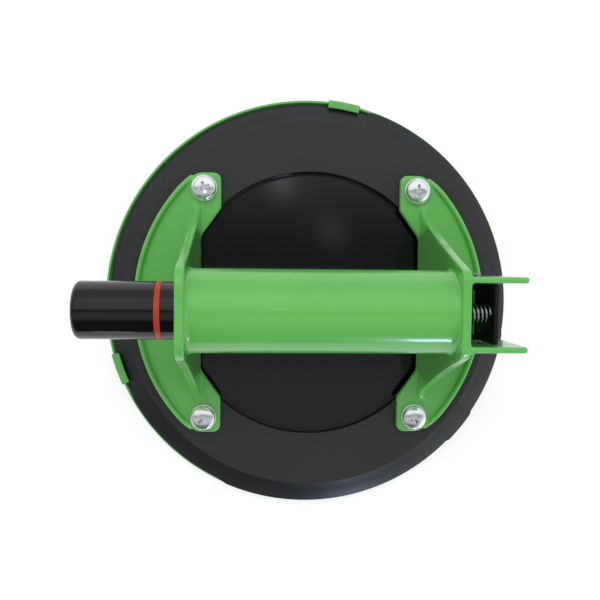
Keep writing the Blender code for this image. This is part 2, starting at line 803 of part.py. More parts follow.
def add_right_bracket():
    """Valve end: two guard ears, a peg for the lever's spring, and a window for the valve housing."""
    bracket = add_bracket(1, "right_bracket")
    root_x = web_outer_x - root
    lower_edge = [(root_x, ear_root_low_z), (ear_tip_x, ear_tip_low_z)]
    upper_edge = [(ear_tip_x, web_top_z), (root_x, web_top_z)]
    ear_shape = rounded([*lower_edge, *upper_edge], [0, ear_low_radius, ear_top_radius, 0])
    for number, low in enumerate((-ear_outer_y, ear_inner_y), 1):
        high = low + ear_thickness
        ear = plate(f"ear_{number}", ear_shape, low, high, helpers, normal="Y", edge=small_edge)
        join(bracket, ear)
    spring_axis = (0, 0, spring_z)
    peg_end = web_outer_x + web_shift(spring_z) + peg_length
    peg = cylinder("spring_peg", peg_radius, root_x, peg_end, helpers, axis="X", place=spring_axis)
    join(bracket, peg)
    grip_axis = (0, 0, grip_z)
    size = (nipple_radius + gap, 0.0, 2 * web_outer_x)
    nipple_hole = cylinder("nipple_hole", *size, helpers, axis="X", place=grip_axis)
    pin_hole = pin_cutter("ear_pin_hole", pin_radius + gap)
    side_gap = housing_half_width + gap
    low = (housing_back_x - gap, -side_gap, 0.0)
    high = (housing_base_x + gap, side_gap, ear_root_low_z)
    cut(bracket, nipple_hole, pin_hole, box("housing_window", low, high, helpers))
    return bracket


def pin_cutter(name, radius):
    reach = 2 * ear_outer_y
    return cylinder(name, radius, -reach, reach, helpers, axis="Y", place=(pin_x, 0, pin_z))


def add_grip_tube():
    """Painted grip tube that holds the pump, its ends cut to the legs' lean."""
    inner = grip_radius - grip_wall
    middle_x = web_inner_x - gap
    profile = tube_profile(grip_radius, inner, -middle_x, middle_x)
    along = {"axis": "X", "place": (0, 0, grip_z), "steps": barrel_steps}
    return leaned(turned("grip_tube", profile, parts, paint_green("Green grip paint"), **along))


def leaned(obj):
    """A shape turned about the grip's axis, its ends moved outwards to the legs' lean."""
    graph = bpy.context.evaluated_depsgraph_get()
    mesh = bpy.data.meshes.new_from_object(obj.evaluated_get(graph))
    for vertex in mesh.vertices:
        # The shape's own axes: its Z is the world's X and its X points down.
        height = grip_z - vertex.co.x
        vertex.co.z += math.copysign(web_shift(height), vertex.co.z)
    mesh.name = obj.name
    obj.modifiers.clear()
    obj.data = mesh
    mesh.shade_smooth()
    mesh.set_sharp_from_angle(angle=math.radians(30))
    return obj


def add_pump_body():
    """Liner, end plug with nipple, its O-ring and umbrella valve, and the plunger's guide and wiper."""
    add_cylinder_liner()
    add_cylinder_plug()
    add_check_valve()
    add_guide_bush()


def add_cylinder_liner():
    profile = tube_profile(cylinder_outer_radius, cylinder_bore_radius, -cylinder_end_x, cylinder_end_x)
    turned("pump_cylinder", profile, parts, finish("Cylinder acetal", (0.75, 0.75, 0.72), 0.4), **on_grip)


def add_cylinder_plug():
    """Plug with a sealed groove, a chamber behind the valve's seat, vents and the nipple."""
    groove_low = plug_face_x + plug_groove_offset
    groove_high = groove_low + 2 * plug_seal_minor + 2 * gap
    groove_floor = plug_radius - 2 * plug_seal_minor - gap
    chamber_high = plug_chamber_x + plug_chamber_length
    stem_hole = valve_stem_radius + gap
    profile = [
        (nipple_radius, nipple_end_x),
        (nipple_radius, cylinder_end_x),
        (plug_radius, cylinder_end_x),
        (plug_radius, groove_high),
        (groove_floor, groove_high),
        (groove_floor, groove_low),
        (plug_radius, groove_low),
        (plug_radius, plug_face_x),
        (stem_hole, plug_face_x),
        (stem_hole, plug_chamber_x),
        (plug_chamber_radius, plug_chamber_x),
        (plug_chamber_radius, chamber_high),
        (nipple_bore, chamber_high),
        (nipple_bore, nipple_end_x),
    ]
    plug = turned("cylinder_plug", profile, parts, black_plastic("Plug plastic"), **on_grip)
    vent_circle = (stem_hole + plug_chamber_radius) / 2
    low, high = plug_face_x - root, plug_chamber_x + root
    for number in range(plug_vents):
        angle = 2 * math.pi * (number + 0.5) / plug_vents
        place = (0, vent_circle * math.cos(angle), grip_z + vent_circle * math.sin(angle))
        size = (plug_vent_radius, low, high)
        cut(plug, cylinder(f"plug_vent_{number + 1}", *size, helpers, axis="X", place=place))
    seal = torus_profile(plug_radius - plug_seal_minor, plug_seal_minor, (groove_low + groove_high) / 2, 6)
    turned("plug_seal", seal, parts, black_rubber("Plug seal rubber"), **on_grip)


def add_check_valve():
    """Umbrella valve: a cap over the vents, its stem held by a barb in the chamber."""
    barb = plug_chamber_x + gap
    cap = plug_face_x - gap
    rim = valve_rise - small_edge
    profile = [
        (0.0, barb + valve_barb),
        (valve_stem_radius, barb + valve_barb),
        (valve_stem_radius + small_edge, barb + gap),
        (valve_stem_radius + small_edge, barb),
        (valve_stem_radius, barb),
        (valve_stem_radius, cap),
        (valve_cap_radius, cap),
        (valve_cap_radius - rim, cap - rim),
        (0.0, cap - valve_rise),
    ]
    material = finish("Check valve silicone", (0.5, 0.1, 0.06), 0.5)
    turned("check_valve", profile, parts, material, axis="X", place=(0, 0, grip_z))


def add_guide_bush():
    """Bush that carries the plunger and stops its collar, and the wiper outside it in the leg."""
    flange_x = -cylinder_end_x - gap
    outer_end = gap - bush_seat_x
    profile = [
        (plug_radius, bush_end_x),
        (plug_radius, flange_x),
        (bush_flange_radius, flange_x),
        (bush_flange_radius, outer_end),
        (bush_bore_radius, outer_end),
        (bush_bore_radius, bush_end_x),
    ]
    turned("guide_bush", profile, parts, finish("Guide bush acetal", (0.8, 0.8, 0.78), 0.35), **on_grip)
    high = -bush_seat_x - gap
    low = high - wiper_length
    wiper = tube_profile(wiper_outer_radius, bush_bore_radius, low, high)
    turned("plunger_wiper", wiper, parts, black_rubber("Wiper rubber"), **on_grip)


def add_plunger_train(axis_empty):
    """What the thumb drives: plunger with its red ring, rod, cross pin, piston, cup seal and nut."""
    plunger, ring = add_plunger()
    rod, pin_hole = add_piston_rod()
    cut(plunger, pin_hole)
    cut(rod, pin_hole)
    for obj in (plunger, ring, rod, add_rod_pin(), add_piston(), add_piston_seal(), add_piston_nut()):
        hang_on(axis_empty, obj)


def add_plunger():
    """Hollow button with a rounded end, a collar that stops it and a groove for the red ring."""
    ring_low = ring_x - ring_width / 2
    ring_high = ring_x + ring_width / 2
    ring_inner = plunger_radius - ring_thickness
    soft = plunger_tip_rounding
    profile = [
        (0.0, plunger_tip_x + plunger_end_wall),
        (plunger_bore_radius, plunger_tip_x + plunger_end_wall),
        (plunger_bore_radius, plunger_back_x),
        (collar_radius, plunger_back_x),
        (collar_radius, collar_x),
        (plunger_radius, collar_x),
        (plunger_radius, ring_high + gap),
        (ring_inner - gap, ring_high + gap),
        (ring_inner - gap, ring_low - gap),
        (plunger_radius, ring_low - gap),
        *arc(soft, 0, -90, 5, (plunger_radius - soft, plunger_tip_x + soft)),
        (0.0, plunger_tip_x),
    ]
    barrel = {**on_grip, "steps": barrel_steps}
    plunger = turned("plunger", profile, parts, black_plastic("Plunger plastic"), **barrel)
    band = tube_profile(plunger_radius, ring_inner, ring_low, ring_high)
    red = finish("Red ring plastic", (0.62, 0.06, 0.03), 0.35)
    return plunger, turned("indicator_ring", band, parts, red, **barrel)


def add_piston_rod():
    """Rod with a plug that fills the plunger's bore and a threaded end, and the cutter of the pin's hole."""
    end_x = piston_end_x + gap + nut_thickness + rod_tail
    rod_plug_radius = plunger_bore_radius - gap
    shoulder_x = piston_x - gap
    profile = [
        (0.0, end_x),
        (rod_thread_radius - small_edge, end_x),
        (rod_thread_radius, end_x - small_edge),
        (rod_thread_radius, shoulder_x),
        (rod_radius, shoulder_x),
        (rod_radius, plunger_back_x),
        (rod_plug_radius, plunger_back_x),
        (rod_plug_radius, plunger_back_x - rod_plug_length),
        (0.0, plunger_back_x - rod_plug_length),
    ]
    rod = turned("piston_rod", profile, parts, plated_steel("Rod steel"), **on_grip)
    radius = rod_pin_radius + gap
    reach = 2 * plunger_radius
    return rod, cylinder("rod_pin_hole", radius, -reach, reach, helpers, place=rod_pin_place)


def add_rod_pin():
    reach = plunger_radius - rod_pin_recess
    material = plated_steel("Rod pin steel")
    return cylinder("rod_pin", rod_pin_radius, -reach, reach, parts, material, place=rod_pin_place)


def add_piston():
    """Grooved disc on the rod's end."""
    profile = [
        (piston_radius, piston_end_x),
        (piston_radius, piston_groove_high),
        (piston_groove_floor, piston_groove_high),
        (piston_groove_floor, piston_groove_low),
        (piston_radius, piston_groove_low),
        (piston_radius, piston_x),
        (rod_thread_radius + gap, piston_x),
        (rod_thread_radius + gap, piston_end_x),
    ]
    material = finish("Piston aluminium", (0.7, 0.7, 0.72), 0.35, metallic=1.0)
    return turned("piston", profile, parts, material, **on_grip)


def add_piston_seal():
    """U-cup in the piston's groove, its lips towards the pressed air."""
    outer = cylinder_bore_radius - slide_gap
    inner = piston_groove_floor + gap
    low, high = piston_groove_low + gap, piston_groove_high - gap
    lip = small_edge
    floor = (low + high) / 2
    profile = [
        (outer, high),
        (outer, low),
        (inner, low),
        (inner, high),
        (inner + lip, high),
        (inner + lip, floor),
        (outer - lip, floor),
        (outer - lip, high),
    ]
    return turned("piston_seal", profile, parts, black_rubber("Piston seal rubber"), **on_grip)


def add_piston_nut():
    """Hexagon nut that holds the piston against the rod's shoulder."""
    radius = nut_across_flats / math.sqrt(3)
    low = piston_end_x + gap
    high = low + nut_thickness
    along = {"axis": "X", "place": (0, 0, grip_z)}
    nut = cylinder("piston_nut", radius, low, high, parts, plated_steel("Nut plating"), **along, steps=6)
    cut(nut, cylinder("nut_bore", rod_thread_radius + gap, low - root, high + root, helpers, **along))
    return nut


def add_pump_spring():
    """Return spring between the piston and the plug, round the nut and the umbrella valve."""
    start = piston_end_x + gap + pump_wire
    end = plug_face_x - gap - pump_wire
    material = plated_steel("Pump spring steel")
    size = (pump_spring_radius, pump_wire, start, end, pump_spring_turns)
    return coil("pump_spring", *size, grip_z, parts, material)


def add_valve_housing():
    """Drilled block between the ears: takes the plug's nipple, and leads air from the port to the vent."""
    base = foot_bottom_z
    profile = [
        (housing_back_x, base),
        (housing_base_x, base),
        (housing_base_x, housing_base_top_z),
        (column_front_x, housing_shoulder_z),
        (column_front_x, housing_top_z),
        (housing_back_x, housing_top_z),
    ]
    outline = rounded(profile, [0, 0, housing_nose_radius, housing_bend_radius, cast_edge, cast_edge])
    half = housing_half_width
    material = black_plastic("Valve housing plastic")
    housing = plate("valve_housing", outline, -half, half, parts, material, normal="Y", edge=small_edge)
    over_port = (port_x, 0, 0)
    on_vent = {"axis": "X", "place": (0, 0, vent_z)}
    spigot_end = plate_top_z - port_spigot_depth + gap
    spigot = cylinder("port_spigot", port_spigot_radius, spigot_end, base + root, helpers, place=over_port)
    seat_end = column_front_x + vent_seat_height
    seat = cylinder("vent_seat", vent_seat_radius, housing_back_x + root, seat_end, helpers, **on_vent)
    join(housing, spigot, seat)
    riser_x = (housing_back_x + column_front_x) / 2
    cross_z = (base + housing_base_top_z) / 2
    overlap = passage_radius / 2
    bore = passage_radius
    riser = cylinder("riser", bore, cross_z, grip_z, helpers, place=(riser_x, 0, 0))
    inlet = cylinder("inlet", bore, 0.0, cross_z + overlap, helpers, place=over_port)
    on_cross = {"axis": "X", "place": (0, 0, cross_z)}
    crossing = cylinder("crossing", bore, riser_x - overlap, port_x + overlap, helpers, **on_cross)
    vent = cylinder("vent", bore, riser_x, 2 * column_front_x, helpers, **on_vent)
    on_nipple = {"axis": "X", "place": (0, 0, grip_z)}
    socket = cylinder("nipple_socket", nipple_radius + gap, 0.0, nipple_end_x + gap, helpers, **on_nipple)
    cut(housing, riser, inlet, crossing, vent, socket)
    return housing


def lever_outline():
    """The lever seen along X: wide thumb end, shoulders below the hinge and a narrower lower arm."""
    arm_z = lever_shoulder_z - lever_shoulder_drop
    right = [
        (lever_arm_half_width, lever_bottom_z),
        (lever_arm_half_width, arm_z),
        (lever_half_width, lever_shoulder_z),
        (lever_half_width, lever_top_z),
    ]
    radii = [lever_arm_radius, 0, 0, lever_top_radius]
    return rounded([*right, *mirrored(right)], [*radii, *reversed(radii)])


def add_lever(axis_empty):
    """Thumb plate on two side flanges. Pressing its top turns the lower arm and its seal off the vent."""
    outer_x = lever_inner_x + lever_thickness
    material = black_plastic("Lever plastic")
    across = {"normal": "X", "edge": lever_edge}
    lever = plate("release_lever", lever_outline(), lever_inner_x, outer_x, parts, material, **across)
    root_x = lever_inner_x + lever_thickness / 2
    half = flange_half_height
    eye = arc(flange_eye_radius, 115, 245, 6, (pin_x, pin_z))
    flange_shape = [(root_x, pin_z - half), (root_x, pin_z + half), *eye]
    for number, low in enumerate((-flange_inner_y - flange_thickness, flange_inner_y), 1):
        high = low + flange_thickness
        along = {"normal": "Y", "edge": lever_edge}
        join(lever, plate(f"lever_flange_{number}", flange_shape, low, high, helpers, **along))
    on_spring = {"axis": "X", "place": (0, 0, spring_z)}
    join(lever, cylinder("lever_peg", peg_radius, lever_inner_x - peg_length, root_x, helpers, **on_spring))
    cut(lever, pin_cutter("lever_pin_hole", pin_radius + hinge_gap))
    seal_back = column_front_x + vent_seat_height + gap
    seal_front = lever_inner_x - gap
    on_vent = {"axis": "X", "place": (0, 0, vent_z)}
    material = black_rubber("Vent seal rubber")
    seal = cylinder("vent_seal", vent_seal_radius, seal_back, seal_front, parts, material, **on_vent)
    hang_on(axis_empty, lever)
    hang_on(axis_empty, seal)


def add_lever_pin():
    """Hinge pin through both ears and flanges, with a head, and an E-clip in a groove at the other end."""
    on_pin = {"axis": "Y", "place": (pin_x, 0, pin_z)}
    head_low = ear_outer_y + gap
    clip_high = -head_low
    clip_low = clip_high - clip_thickness
    groove = pin_radius - clip_groove
    play = gap / 2
    chamfer = pin_head / 3
    tail = clip_low - pin_tail
    profile = [
        (0.0, head_low + pin_head),
        (pin_head_radius - 2 * chamfer, head_low + pin_head),
        (pin_head_radius, head_low + pin_head - chamfer),
        (pin_head_radius, head_low),
        (pin_radius, head_low),
        (pin_radius, clip_high + play),
        (groove, clip_high + play),
        (groove, clip_low - play),
        (pin_radius, clip_low - play),
        (pin_radius, tail + chamfer),
        (pin_radius - chamfer, tail),
        (0.0, tail),
    ]
    turned("lever_pin", profile, parts, plated_steel("Pin steel"), **on_pin)
    inner = groove + gap
    clip_profile = [(clip_radius, clip_high), (clip_radius, clip_low), (inner, clip_low), (inner, clip_high)]
    clip = turned("pin_clip", clip_profile, parts, plated_steel("Clip steel"), **on_pin)
    low = (pin_x - clip_mouth / 2, clip_low - root, pin_z - 2 * clip_radius)
    high = (pin_x + clip_mouth / 2, clip_high + root, pin_z)
    cut(clip, box("clip_opening", low, high, helpers))


def add_lever_spring():
    """Small compression spring that holds the lever's top away from the leg."""
    start = web_outer_x + web_shift(spring_z) + gap + spring_wire
    end = lever_inner_x - gap - spring_wire
    material = plated_steel("Lever spring steel")
    size = (spring_radius, spring_wire, start, end, spring_turns)
    return coil("lever_spring", *size, spring_z, parts, material)


def add_axis(name, place):
    """An empty on a joint's axis, which carries the pieces that move about or along it."""
    empty = bpy.data.objects.new(name, None)
    empty.location = place
    empty.empty_display_size = 10 * MM
    parts.objects.link(empty)
    return empty


def hang_on(empty, obj):
    obj.parent = empty
    obj.matrix_parent_inverse = Matrix.Translation(empty.location).inverted()


clear_scene()
parts = new_collection("Single suction cup lifter")
helpers = new_collection("Cutters and joined shapes")

add_cover()
add_pad()
add_backing_plate()
add_pad_filter()
add_port_seal()
add_fasteners()
add_left_bracket()
add_right_bracket()
add_grip_tube()
add_pump_body()
add_plunger_train(add_axis("plunger_axis", (0, 0, grip_z)))
add_pump_spring()
add_valve_housing()
add_lever(add_axis("lever_axis", (pin_x, 0, pin_z)))
add_lever_pin()
add_lever_spring()
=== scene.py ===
# %% [markdown]
# # A single suction cup lifter, seen from above
#
# The real tool is a rubber disc under a stiff plate. Two painted castings and a tube make its
# handle, a small pump sits inside the tube, and a lever lets the air back in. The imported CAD
# model gives every size and place. Here each piece that shows is modelled again, with the
# soft edges and the finish of the real one, and the hidden pieces get their own materials.

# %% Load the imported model
import math

import bmesh
import bpy
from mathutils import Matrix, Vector


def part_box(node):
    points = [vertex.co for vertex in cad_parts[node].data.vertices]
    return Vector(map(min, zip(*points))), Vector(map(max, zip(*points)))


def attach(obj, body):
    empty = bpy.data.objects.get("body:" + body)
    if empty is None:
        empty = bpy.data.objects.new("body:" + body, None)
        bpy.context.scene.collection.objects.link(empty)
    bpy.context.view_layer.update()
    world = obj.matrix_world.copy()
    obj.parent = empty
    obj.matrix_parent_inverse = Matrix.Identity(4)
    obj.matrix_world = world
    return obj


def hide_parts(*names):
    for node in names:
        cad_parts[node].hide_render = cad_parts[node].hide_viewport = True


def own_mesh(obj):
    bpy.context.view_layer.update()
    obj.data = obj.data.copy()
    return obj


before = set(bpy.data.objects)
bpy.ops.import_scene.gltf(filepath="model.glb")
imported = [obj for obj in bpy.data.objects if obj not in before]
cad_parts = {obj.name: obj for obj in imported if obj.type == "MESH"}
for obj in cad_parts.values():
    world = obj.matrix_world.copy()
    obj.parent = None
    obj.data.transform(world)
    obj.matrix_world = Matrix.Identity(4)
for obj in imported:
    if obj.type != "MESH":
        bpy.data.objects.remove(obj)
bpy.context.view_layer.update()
MM = 0.001

# %% [markdown]
# ## Camera
#
# The photograph looks almost straight down. The camera was fitted to outlines whose sizes are
# known, so it stands a little left of the middle and beyond it, and leans by about four and a
# half degrees. From there more of the right leg's inner face shows than of the left's.

# %% Camera at the photograph's angle
camera_place = (-0.027781, 0.019884, 0.381035)
camera_turn = (-0.05, -0.062, 0.01)
focal_length = 44.63

bpy.ops.object.camera_add(location=camera_place, rotation=camera_turn)
camera = bpy.context.object
camera.name = "photo_camera"
camera.data.lens = focal_length
camera.data.clip_start = 0.01
bpy.context.scene.camera = camera
bpy.context.scene.view_settings.view_transform = "Standard"
print("camera height in mm:", round(camera.location.z / MM))

# %% [markdown]
# ## One function for nodes
#
# A shader is a graph of nodes. Adding each node by hand takes a line for the node, one for each
# setting and one for each link. One small function does all three, so that a material reads as
# a list of what it is made of. A second one turns a colour as it is picked on a screen into the
# linear numbers that a socket takes.


# %% A node with its settings and links
def add_node(tree, kind, inputs=None, **settings):
    """Adds a shader node. Inputs are plain values, or sockets to link from."""
    made = tree.nodes.new("ShaderNode" + kind)
    for name, value in settings.items():
        setattr(made, name, value)
    for socket, value in (inputs or {}).items():
        if isinstance(value, bpy.types.NodeSocket):
            tree.links.new(value, made.inputs[socket])
        else:
            made.inputs[socket].default_value = value
    return made


def linear(hex_colour):
    """An sRGB hex colour as linear RGBA, by the two parts of the sRGB curve."""
    values = [int(hex_colour[start : start + 2], 16) / 255 for start in (1, 3, 5)]
    return (*(v / 12.92 if v <= 0.04045 else ((v + 0.055) / 1.055) ** 2.4 for v in values), 1.0)


white = linear("#ffffff")
print("white is", white)

# %% [markdown]
# ## Light
#
# A product photograph of a glossy black thing is a picture of the room around it. The room could
# be built of white cards. Two colour ramps in the world do the same and need no objects. Steep
# directions go by how far they point from the viewer's side to the far side: dark, grey, a
# darker band overhead, then bright. Flat directions go round the horizon: dark where the viewer
# stands, and bright from the right round to the far side. Glossy rays see that room, diffuse
# rays get an even grey, and the camera sees white.

# %% Studio world
DAYLIGHT = (0.96, 1.0, 1.04)
even_level = 0.76
walls_end, room_start = 0.5, 0.7

world = bpy.data.worlds.new("studio")
bpy.context.scene.world = world
world.use_nodes = True
sky = world.node_tree
sky.nodes.clear()
looking = add_node(sky, "TexCoord").outputs["Generated"]
direction = add_node(sky, "SeparateXYZ", {0: looking})
across = add_node(
    sky, "MapRange", {"Value": direction.outputs["Y"], "From Min": -1.0, "From Max": 1.0}
)
room = add_node(sky, "ValToRGB", {"Fac": across.outputs["Result"]})
around = add_node(sky, "TexGradient", {"Vector": looking}, gradient_type="RADIAL")
walls = add_node(sky, "ValToRGB", {"Fac": around.outputs["Fac"]})


def set_levels(ramp, levels):
    """Gives a colour ramp its grey levels, with a trace of blue as daylight has."""
    stops = ramp.color_ramp.elements
    while len(stops) < len(levels):
        stops.new(0.5)
    for stop, (position, level) in zip(stops, levels):
        stop.position = position
        stop.color = (*(level * part for part in DAYLIGHT), 1.0)


# From the viewer's side (0) over the zenith (0.5) to the far side (1).
room_levels = [(0.0, 0.04), (0.17, 0.04), (0.24, 0.42), (0.42, 0.5)]
room_levels += [(0.49, 0.14), (0.53, 0.25), (0.58, 0.85), (1.0, 1.0)]
set_levels(room, room_levels)
# Round the horizon from -X (0) over -Y (0.25), +X (0.5) and +Y (0.75) back to -X (1).
wall_levels = [(0.0, 0.35), (0.06, 0.3), (0.12, 0.1), (0.25, 0.04), (0.3, 0.08), (0.34, 0.8)]
wall_levels += [(0.37, 1.3), (0.42, 1.1), (0.5, 0.75), (0.62, 0.7), (0.9, 0.6), (1.0, 0.35)]
set_levels(walls, wall_levels)
print("levels in the room and on its walls:", len(room_levels), len(wall_levels))

# %% Which rays see what
horizon = add_node(
    sky,
    "MapRange",
    {
        "Value": direction.outputs["Z"],
        "From Min": walls_end,
        "From Max": room_start,
        "To Min": 1.0,
        "To Max": 0.0,
    },
)
seen = add_node(
    sky,
    "MixRGB",
    {
        "Fac": horizon.outputs["Result"],
        "Color1": room.outputs["Color"],
        "Color2": walls.outputs["Color"],
    },
)
rays = add_node(sky, "LightPath")
glossy_room = add_node(sky, "Background", {"Color": seen.outputs["Color"], "Strength": 1.0})
even_grey = add_node(sky, "Background", {"Color": white, "Strength": even_level})
backdrop = add_node(sky, "Background", {"Color": white, "Strength": 1.0})
lit = add_node(
    sky,
    "MixShader",
    {0: rays.outputs["Is Glossy Ray"], 1: even_grey.outputs[0], 2: glossy_room.outputs[0]},
)
clear = add_node(
    sky,
    "Math",
    {0: rays.outputs["Is Camera Ray"], 1: rays.outputs["Is Transmission Ray"]},
    operation="MAXIMUM",
)
surroundings = add_node(
    sky, "MixShader", {0: clear.outputs[0], 1: lit.outputs[0], 2: backdrop.outputs[0]}
)
add_node(sky, "OutputWorld", {"Surface": surroundings.outputs[0]})
print("world nodes:", len(sky.nodes))

# %% [markdown]
# ## Lamps
#
# The world alone lights everything evenly, and evenly lit castings look flat. A large soft lamp
# on the far side shapes them, and stays out of the reflections. The other four are seen mostly
# as reflections: a low bluish one on the near side draws the streak along the grip, two small
# ones high up leave glints in the polished floor, and a narrow strip edges the black button.


# %% Lamps
def add_lamp(name, place, target, size, power, in_reflections=True, tint=(1, 1, 1)):
    """A soft rectangular light that looks at a target, in metres and watts."""
    bpy.ops.object.light_add(type="AREA", location=place)
    lamp = bpy.context.object
    lamp.name = name
    lamp.data.shape = "RECTANGLE"
    lamp.data.size, lamp.data.size_y = size
    lamp.data.energy = power
    lamp.data.color = tint
    lamp.rotation_euler = (Vector(target) - Vector(place)).to_track_quat("-Z", "Y").to_euler()
    lamp.visible_glossy = in_reflections
    print(f"{name}: {power} W")


add_lamp("key_light", (-0.15, 0.75, 1.15), (0, 0, 0.03), (0.7, 0.7), 5.2, in_reflections=False)
add_lamp(
    "streak_light",
    (0.262, -0.872, 0.232),
    (0.045, -0.01, 0.087),
    (0.11, 0.12),
    1.05,
    tint=(0.58, 0.7, 1.0),
)
add_lamp("upper_glint", (0.0414, 0.2185, 1.501), (-0.014, 0.0595, 0.01), (0.03, 0.015), 0.014)
add_lamp("lower_glint", (0.165, 0.106, 1.501), (0.0106, 0.037, 0.01), (0.06, 0.012), 0.006)
add_lamp("button_strip", (-0.25, -0.9, 0.045), (-0.08, 0, 0.08), (0.12, 0.02), 0.06)

# %% [markdown]
# ## Floor
#
# The floor is white paper. A brighter lamp could turn it white, but would bleach the object too.
# So it has a pale colour, and a little light of its own that only the camera, reflections and
# glass see. It comes out white, and the shadow stays on it.

# %% White floor
floor_size, floor_glow = 8, 0.57

bpy.ops.mesh.primitive_plane_add(size=floor_size, location=(0, 0, 0))
floor = bpy.context.object
floor.name = "floor"
paper = bpy.data.materials.new("white_paper")
paper.use_nodes = True
tree = paper.node_tree
matt = tree.nodes["Principled BSDF"]
matt.inputs["Base Color"].default_value = linear("#bcbcbc")
matt.inputs["Roughness"].default_value = 0.9
matt.inputs["Specular IOR Level"].default_value = 0.1
rays = add_node(tree, "LightPath")
looked = add_node(
    tree,
    "Math",
    {0: rays.outputs["Is Camera Ray"], 1: rays.outputs["Is Glossy Ray"]},
    operation="MAXIMUM",
)
looked = add_node(
    tree,
    "Math",
    {0: looked.outputs[0], 1: rays.outputs["Is Transmission Ray"]},
    operation="MAXIMUM",
)
glow_level = add_node(tree, "Math", {0: looked.outputs[0], 1: floor_glow}, operation="MULTIPLY")
glow = add_node(tree, "Emission", {"Color": white, "Strength": glow_level.outputs[0]})
sum_up = add_node(tree, "AddShader", {0: matt.outputs[0], 1: glow.outputs[0]})
tree.links.new(sum_up.outputs[0], tree.nodes["Material Output"].inputs["Surface"])
floor.data.materials.append(paper)
print("floor is staged")

# %% [markdown]
# ## Finishes
#
# Moulded, painted and machined surfaces have much in common: a colour that drifts a little, a
# gloss that drifts a little, and a fine grain in the relief. One function makes that graph, and
# each call names a real finish and gives it real sizes in millimetres.


# %% A surface with drift and grain
def surface(name, dark, light, roughness, patch_mm, grain_mm, relief_mm, drift=0.04, **fixed):
    """Two close colours in soft patches, a roughness that drifts along, a grain in relief."""
    material = bpy.data.materials.new(name)
    material.use_nodes = True
    tree = material.node_tree
    shader = tree.nodes["Principled BSDF"]
    place = add_node(tree, "TexCoord").outputs["Object"]
    patches = add_node(
        tree, "TexNoise", {"Vector": place, "Scale": 1 / (patch_mm * MM), "Detail": 4.0}
    )
    colours = {"Color1": linear(dark), "Color2": linear(light)}
    blend = add_node(tree, "MixRGB", {"Fac": patches.outputs["Fac"], **colours})
    limits = {"To Min": roughness - drift, "To Max": roughness + drift}
    gloss = add_node(tree, "MapRange", {"Value": patches.outputs["Fac"], **limits})
    tree.links.new(blend.outputs["Color"], shader.inputs["Base Color"])
    tree.links.new(gloss.outputs["Result"], shader.inputs["Roughness"])
    grain = add_node(
        tree, "TexNoise", {"Vector": place, "Scale": 1 / (grain_mm * MM), "Detail": 2.0}
    )
    height = {"Height": grain.outputs["Fac"], "Strength": 1.0, "Distance": relief_mm * MM}
    relief = add_node(tree, "Bump", height)
    tree.links.new(relief.outputs["Normal"], shader.inputs["Normal"])
    for socket, value in fixed.items():
        shader.inputs[socket.replace("_", " ")].default_value = value
    return material


# %% Finishes that show
# After the two colours come the roughness, then patches, grain and depth of the relief in mm.
# Stoving enamel on the castings and the grip: glossy, with a slight orange peel of 2 mm waves.
lacquer = {"Coat_Weight": 0.4, "Coat_Roughness": 0.08}
enamel = surface("stoved_enamel", "#5eb350", "#68be5b", 0.24, 40, 2.0, 0.008, **lacquer)
# Polypropylene of the cover: the same green, duller, from a mould with a fine spark-eroded grain.
cover_plastic = surface("moulded_polypropylene", "#5fae56", "#6ab862", 0.42, 60, 0.5, 0.01)
# Nitrile rubber of the pad: matt, a little dusty, with the fine grain of its mould.
rubber = surface("nitrile_rubber", "#1a1c1d", "#222425", 0.38, 18, 0.35, 0.02, drift=0.06)
# Glass-filled nylon of the plate: black, half glossy.
nylon = surface("glass_filled_nylon", "#282727", "#2f2e2e", 0.5, 25, 0.6, 0.008)
# Zinc-plated steel of the screws, the washers and the pump's rod: bright, slightly cloudy.
zinc = surface(
    "zinc_plating", "#f8f9fa", "#ffffff", 0.2, 4, 0.4, 0.004, drift=0.06, Metallic=0.9
)
# Polished ABS of the pump's button: nearly piano black.
button_plastic = surface("polished_abs", "#0b0b0d", "#101013", 0.1, 20, 1.2, 0.001, drift=0.02)
# Acetal of the warning ring: orange red, satin.
ring_plastic = surface("red_acetal", "#b02c16", "#bb351d", 0.38, 8, 0.6, 0.006)
# Spark-eroded ABS of the lever and the valve housing: black and matt.
lever_plastic = surface(
    "grained_abs", "#111112", "#18181a", 0.45, 12, 0.35, 0.015, Specular_IOR_Level=0.25
)
# Stainless spring wire: drawn, so bright and smooth.
spring_wire = surface(
    "spring_steel", "#a9abad", "#c6c8ca", 0.25, 3, 0.3, 0.003, drift=0.06, Metallic=1.0
)
# Hardened steel of the hinge pin, only lightly oiled: darker than the plated screws.
pin_steel = surface(
    "oiled_steel", "#6f7173", "#85878a", 0.3, 5, 0.3, 0.003, drift=0.05, Metallic=1.0
)
print("materials so far:", len(bpy.data.materials))

# %% [markdown]
# The dished middle of the nylon plate comes from a polished part of the same mould: darker, a
# little blue, and nearly a mirror. A second piece would put a seam there that the plate hasn't.
# So the one material changes with the distance from the plate's axis, across half a millimetre.

# %% Polished middle of the nylon
polish_end, grain_start = 64.6, 65.1
polished_colour, polished_gloss = linear("#06090c"), (0.1, 0.1, 0.1, 1.0)

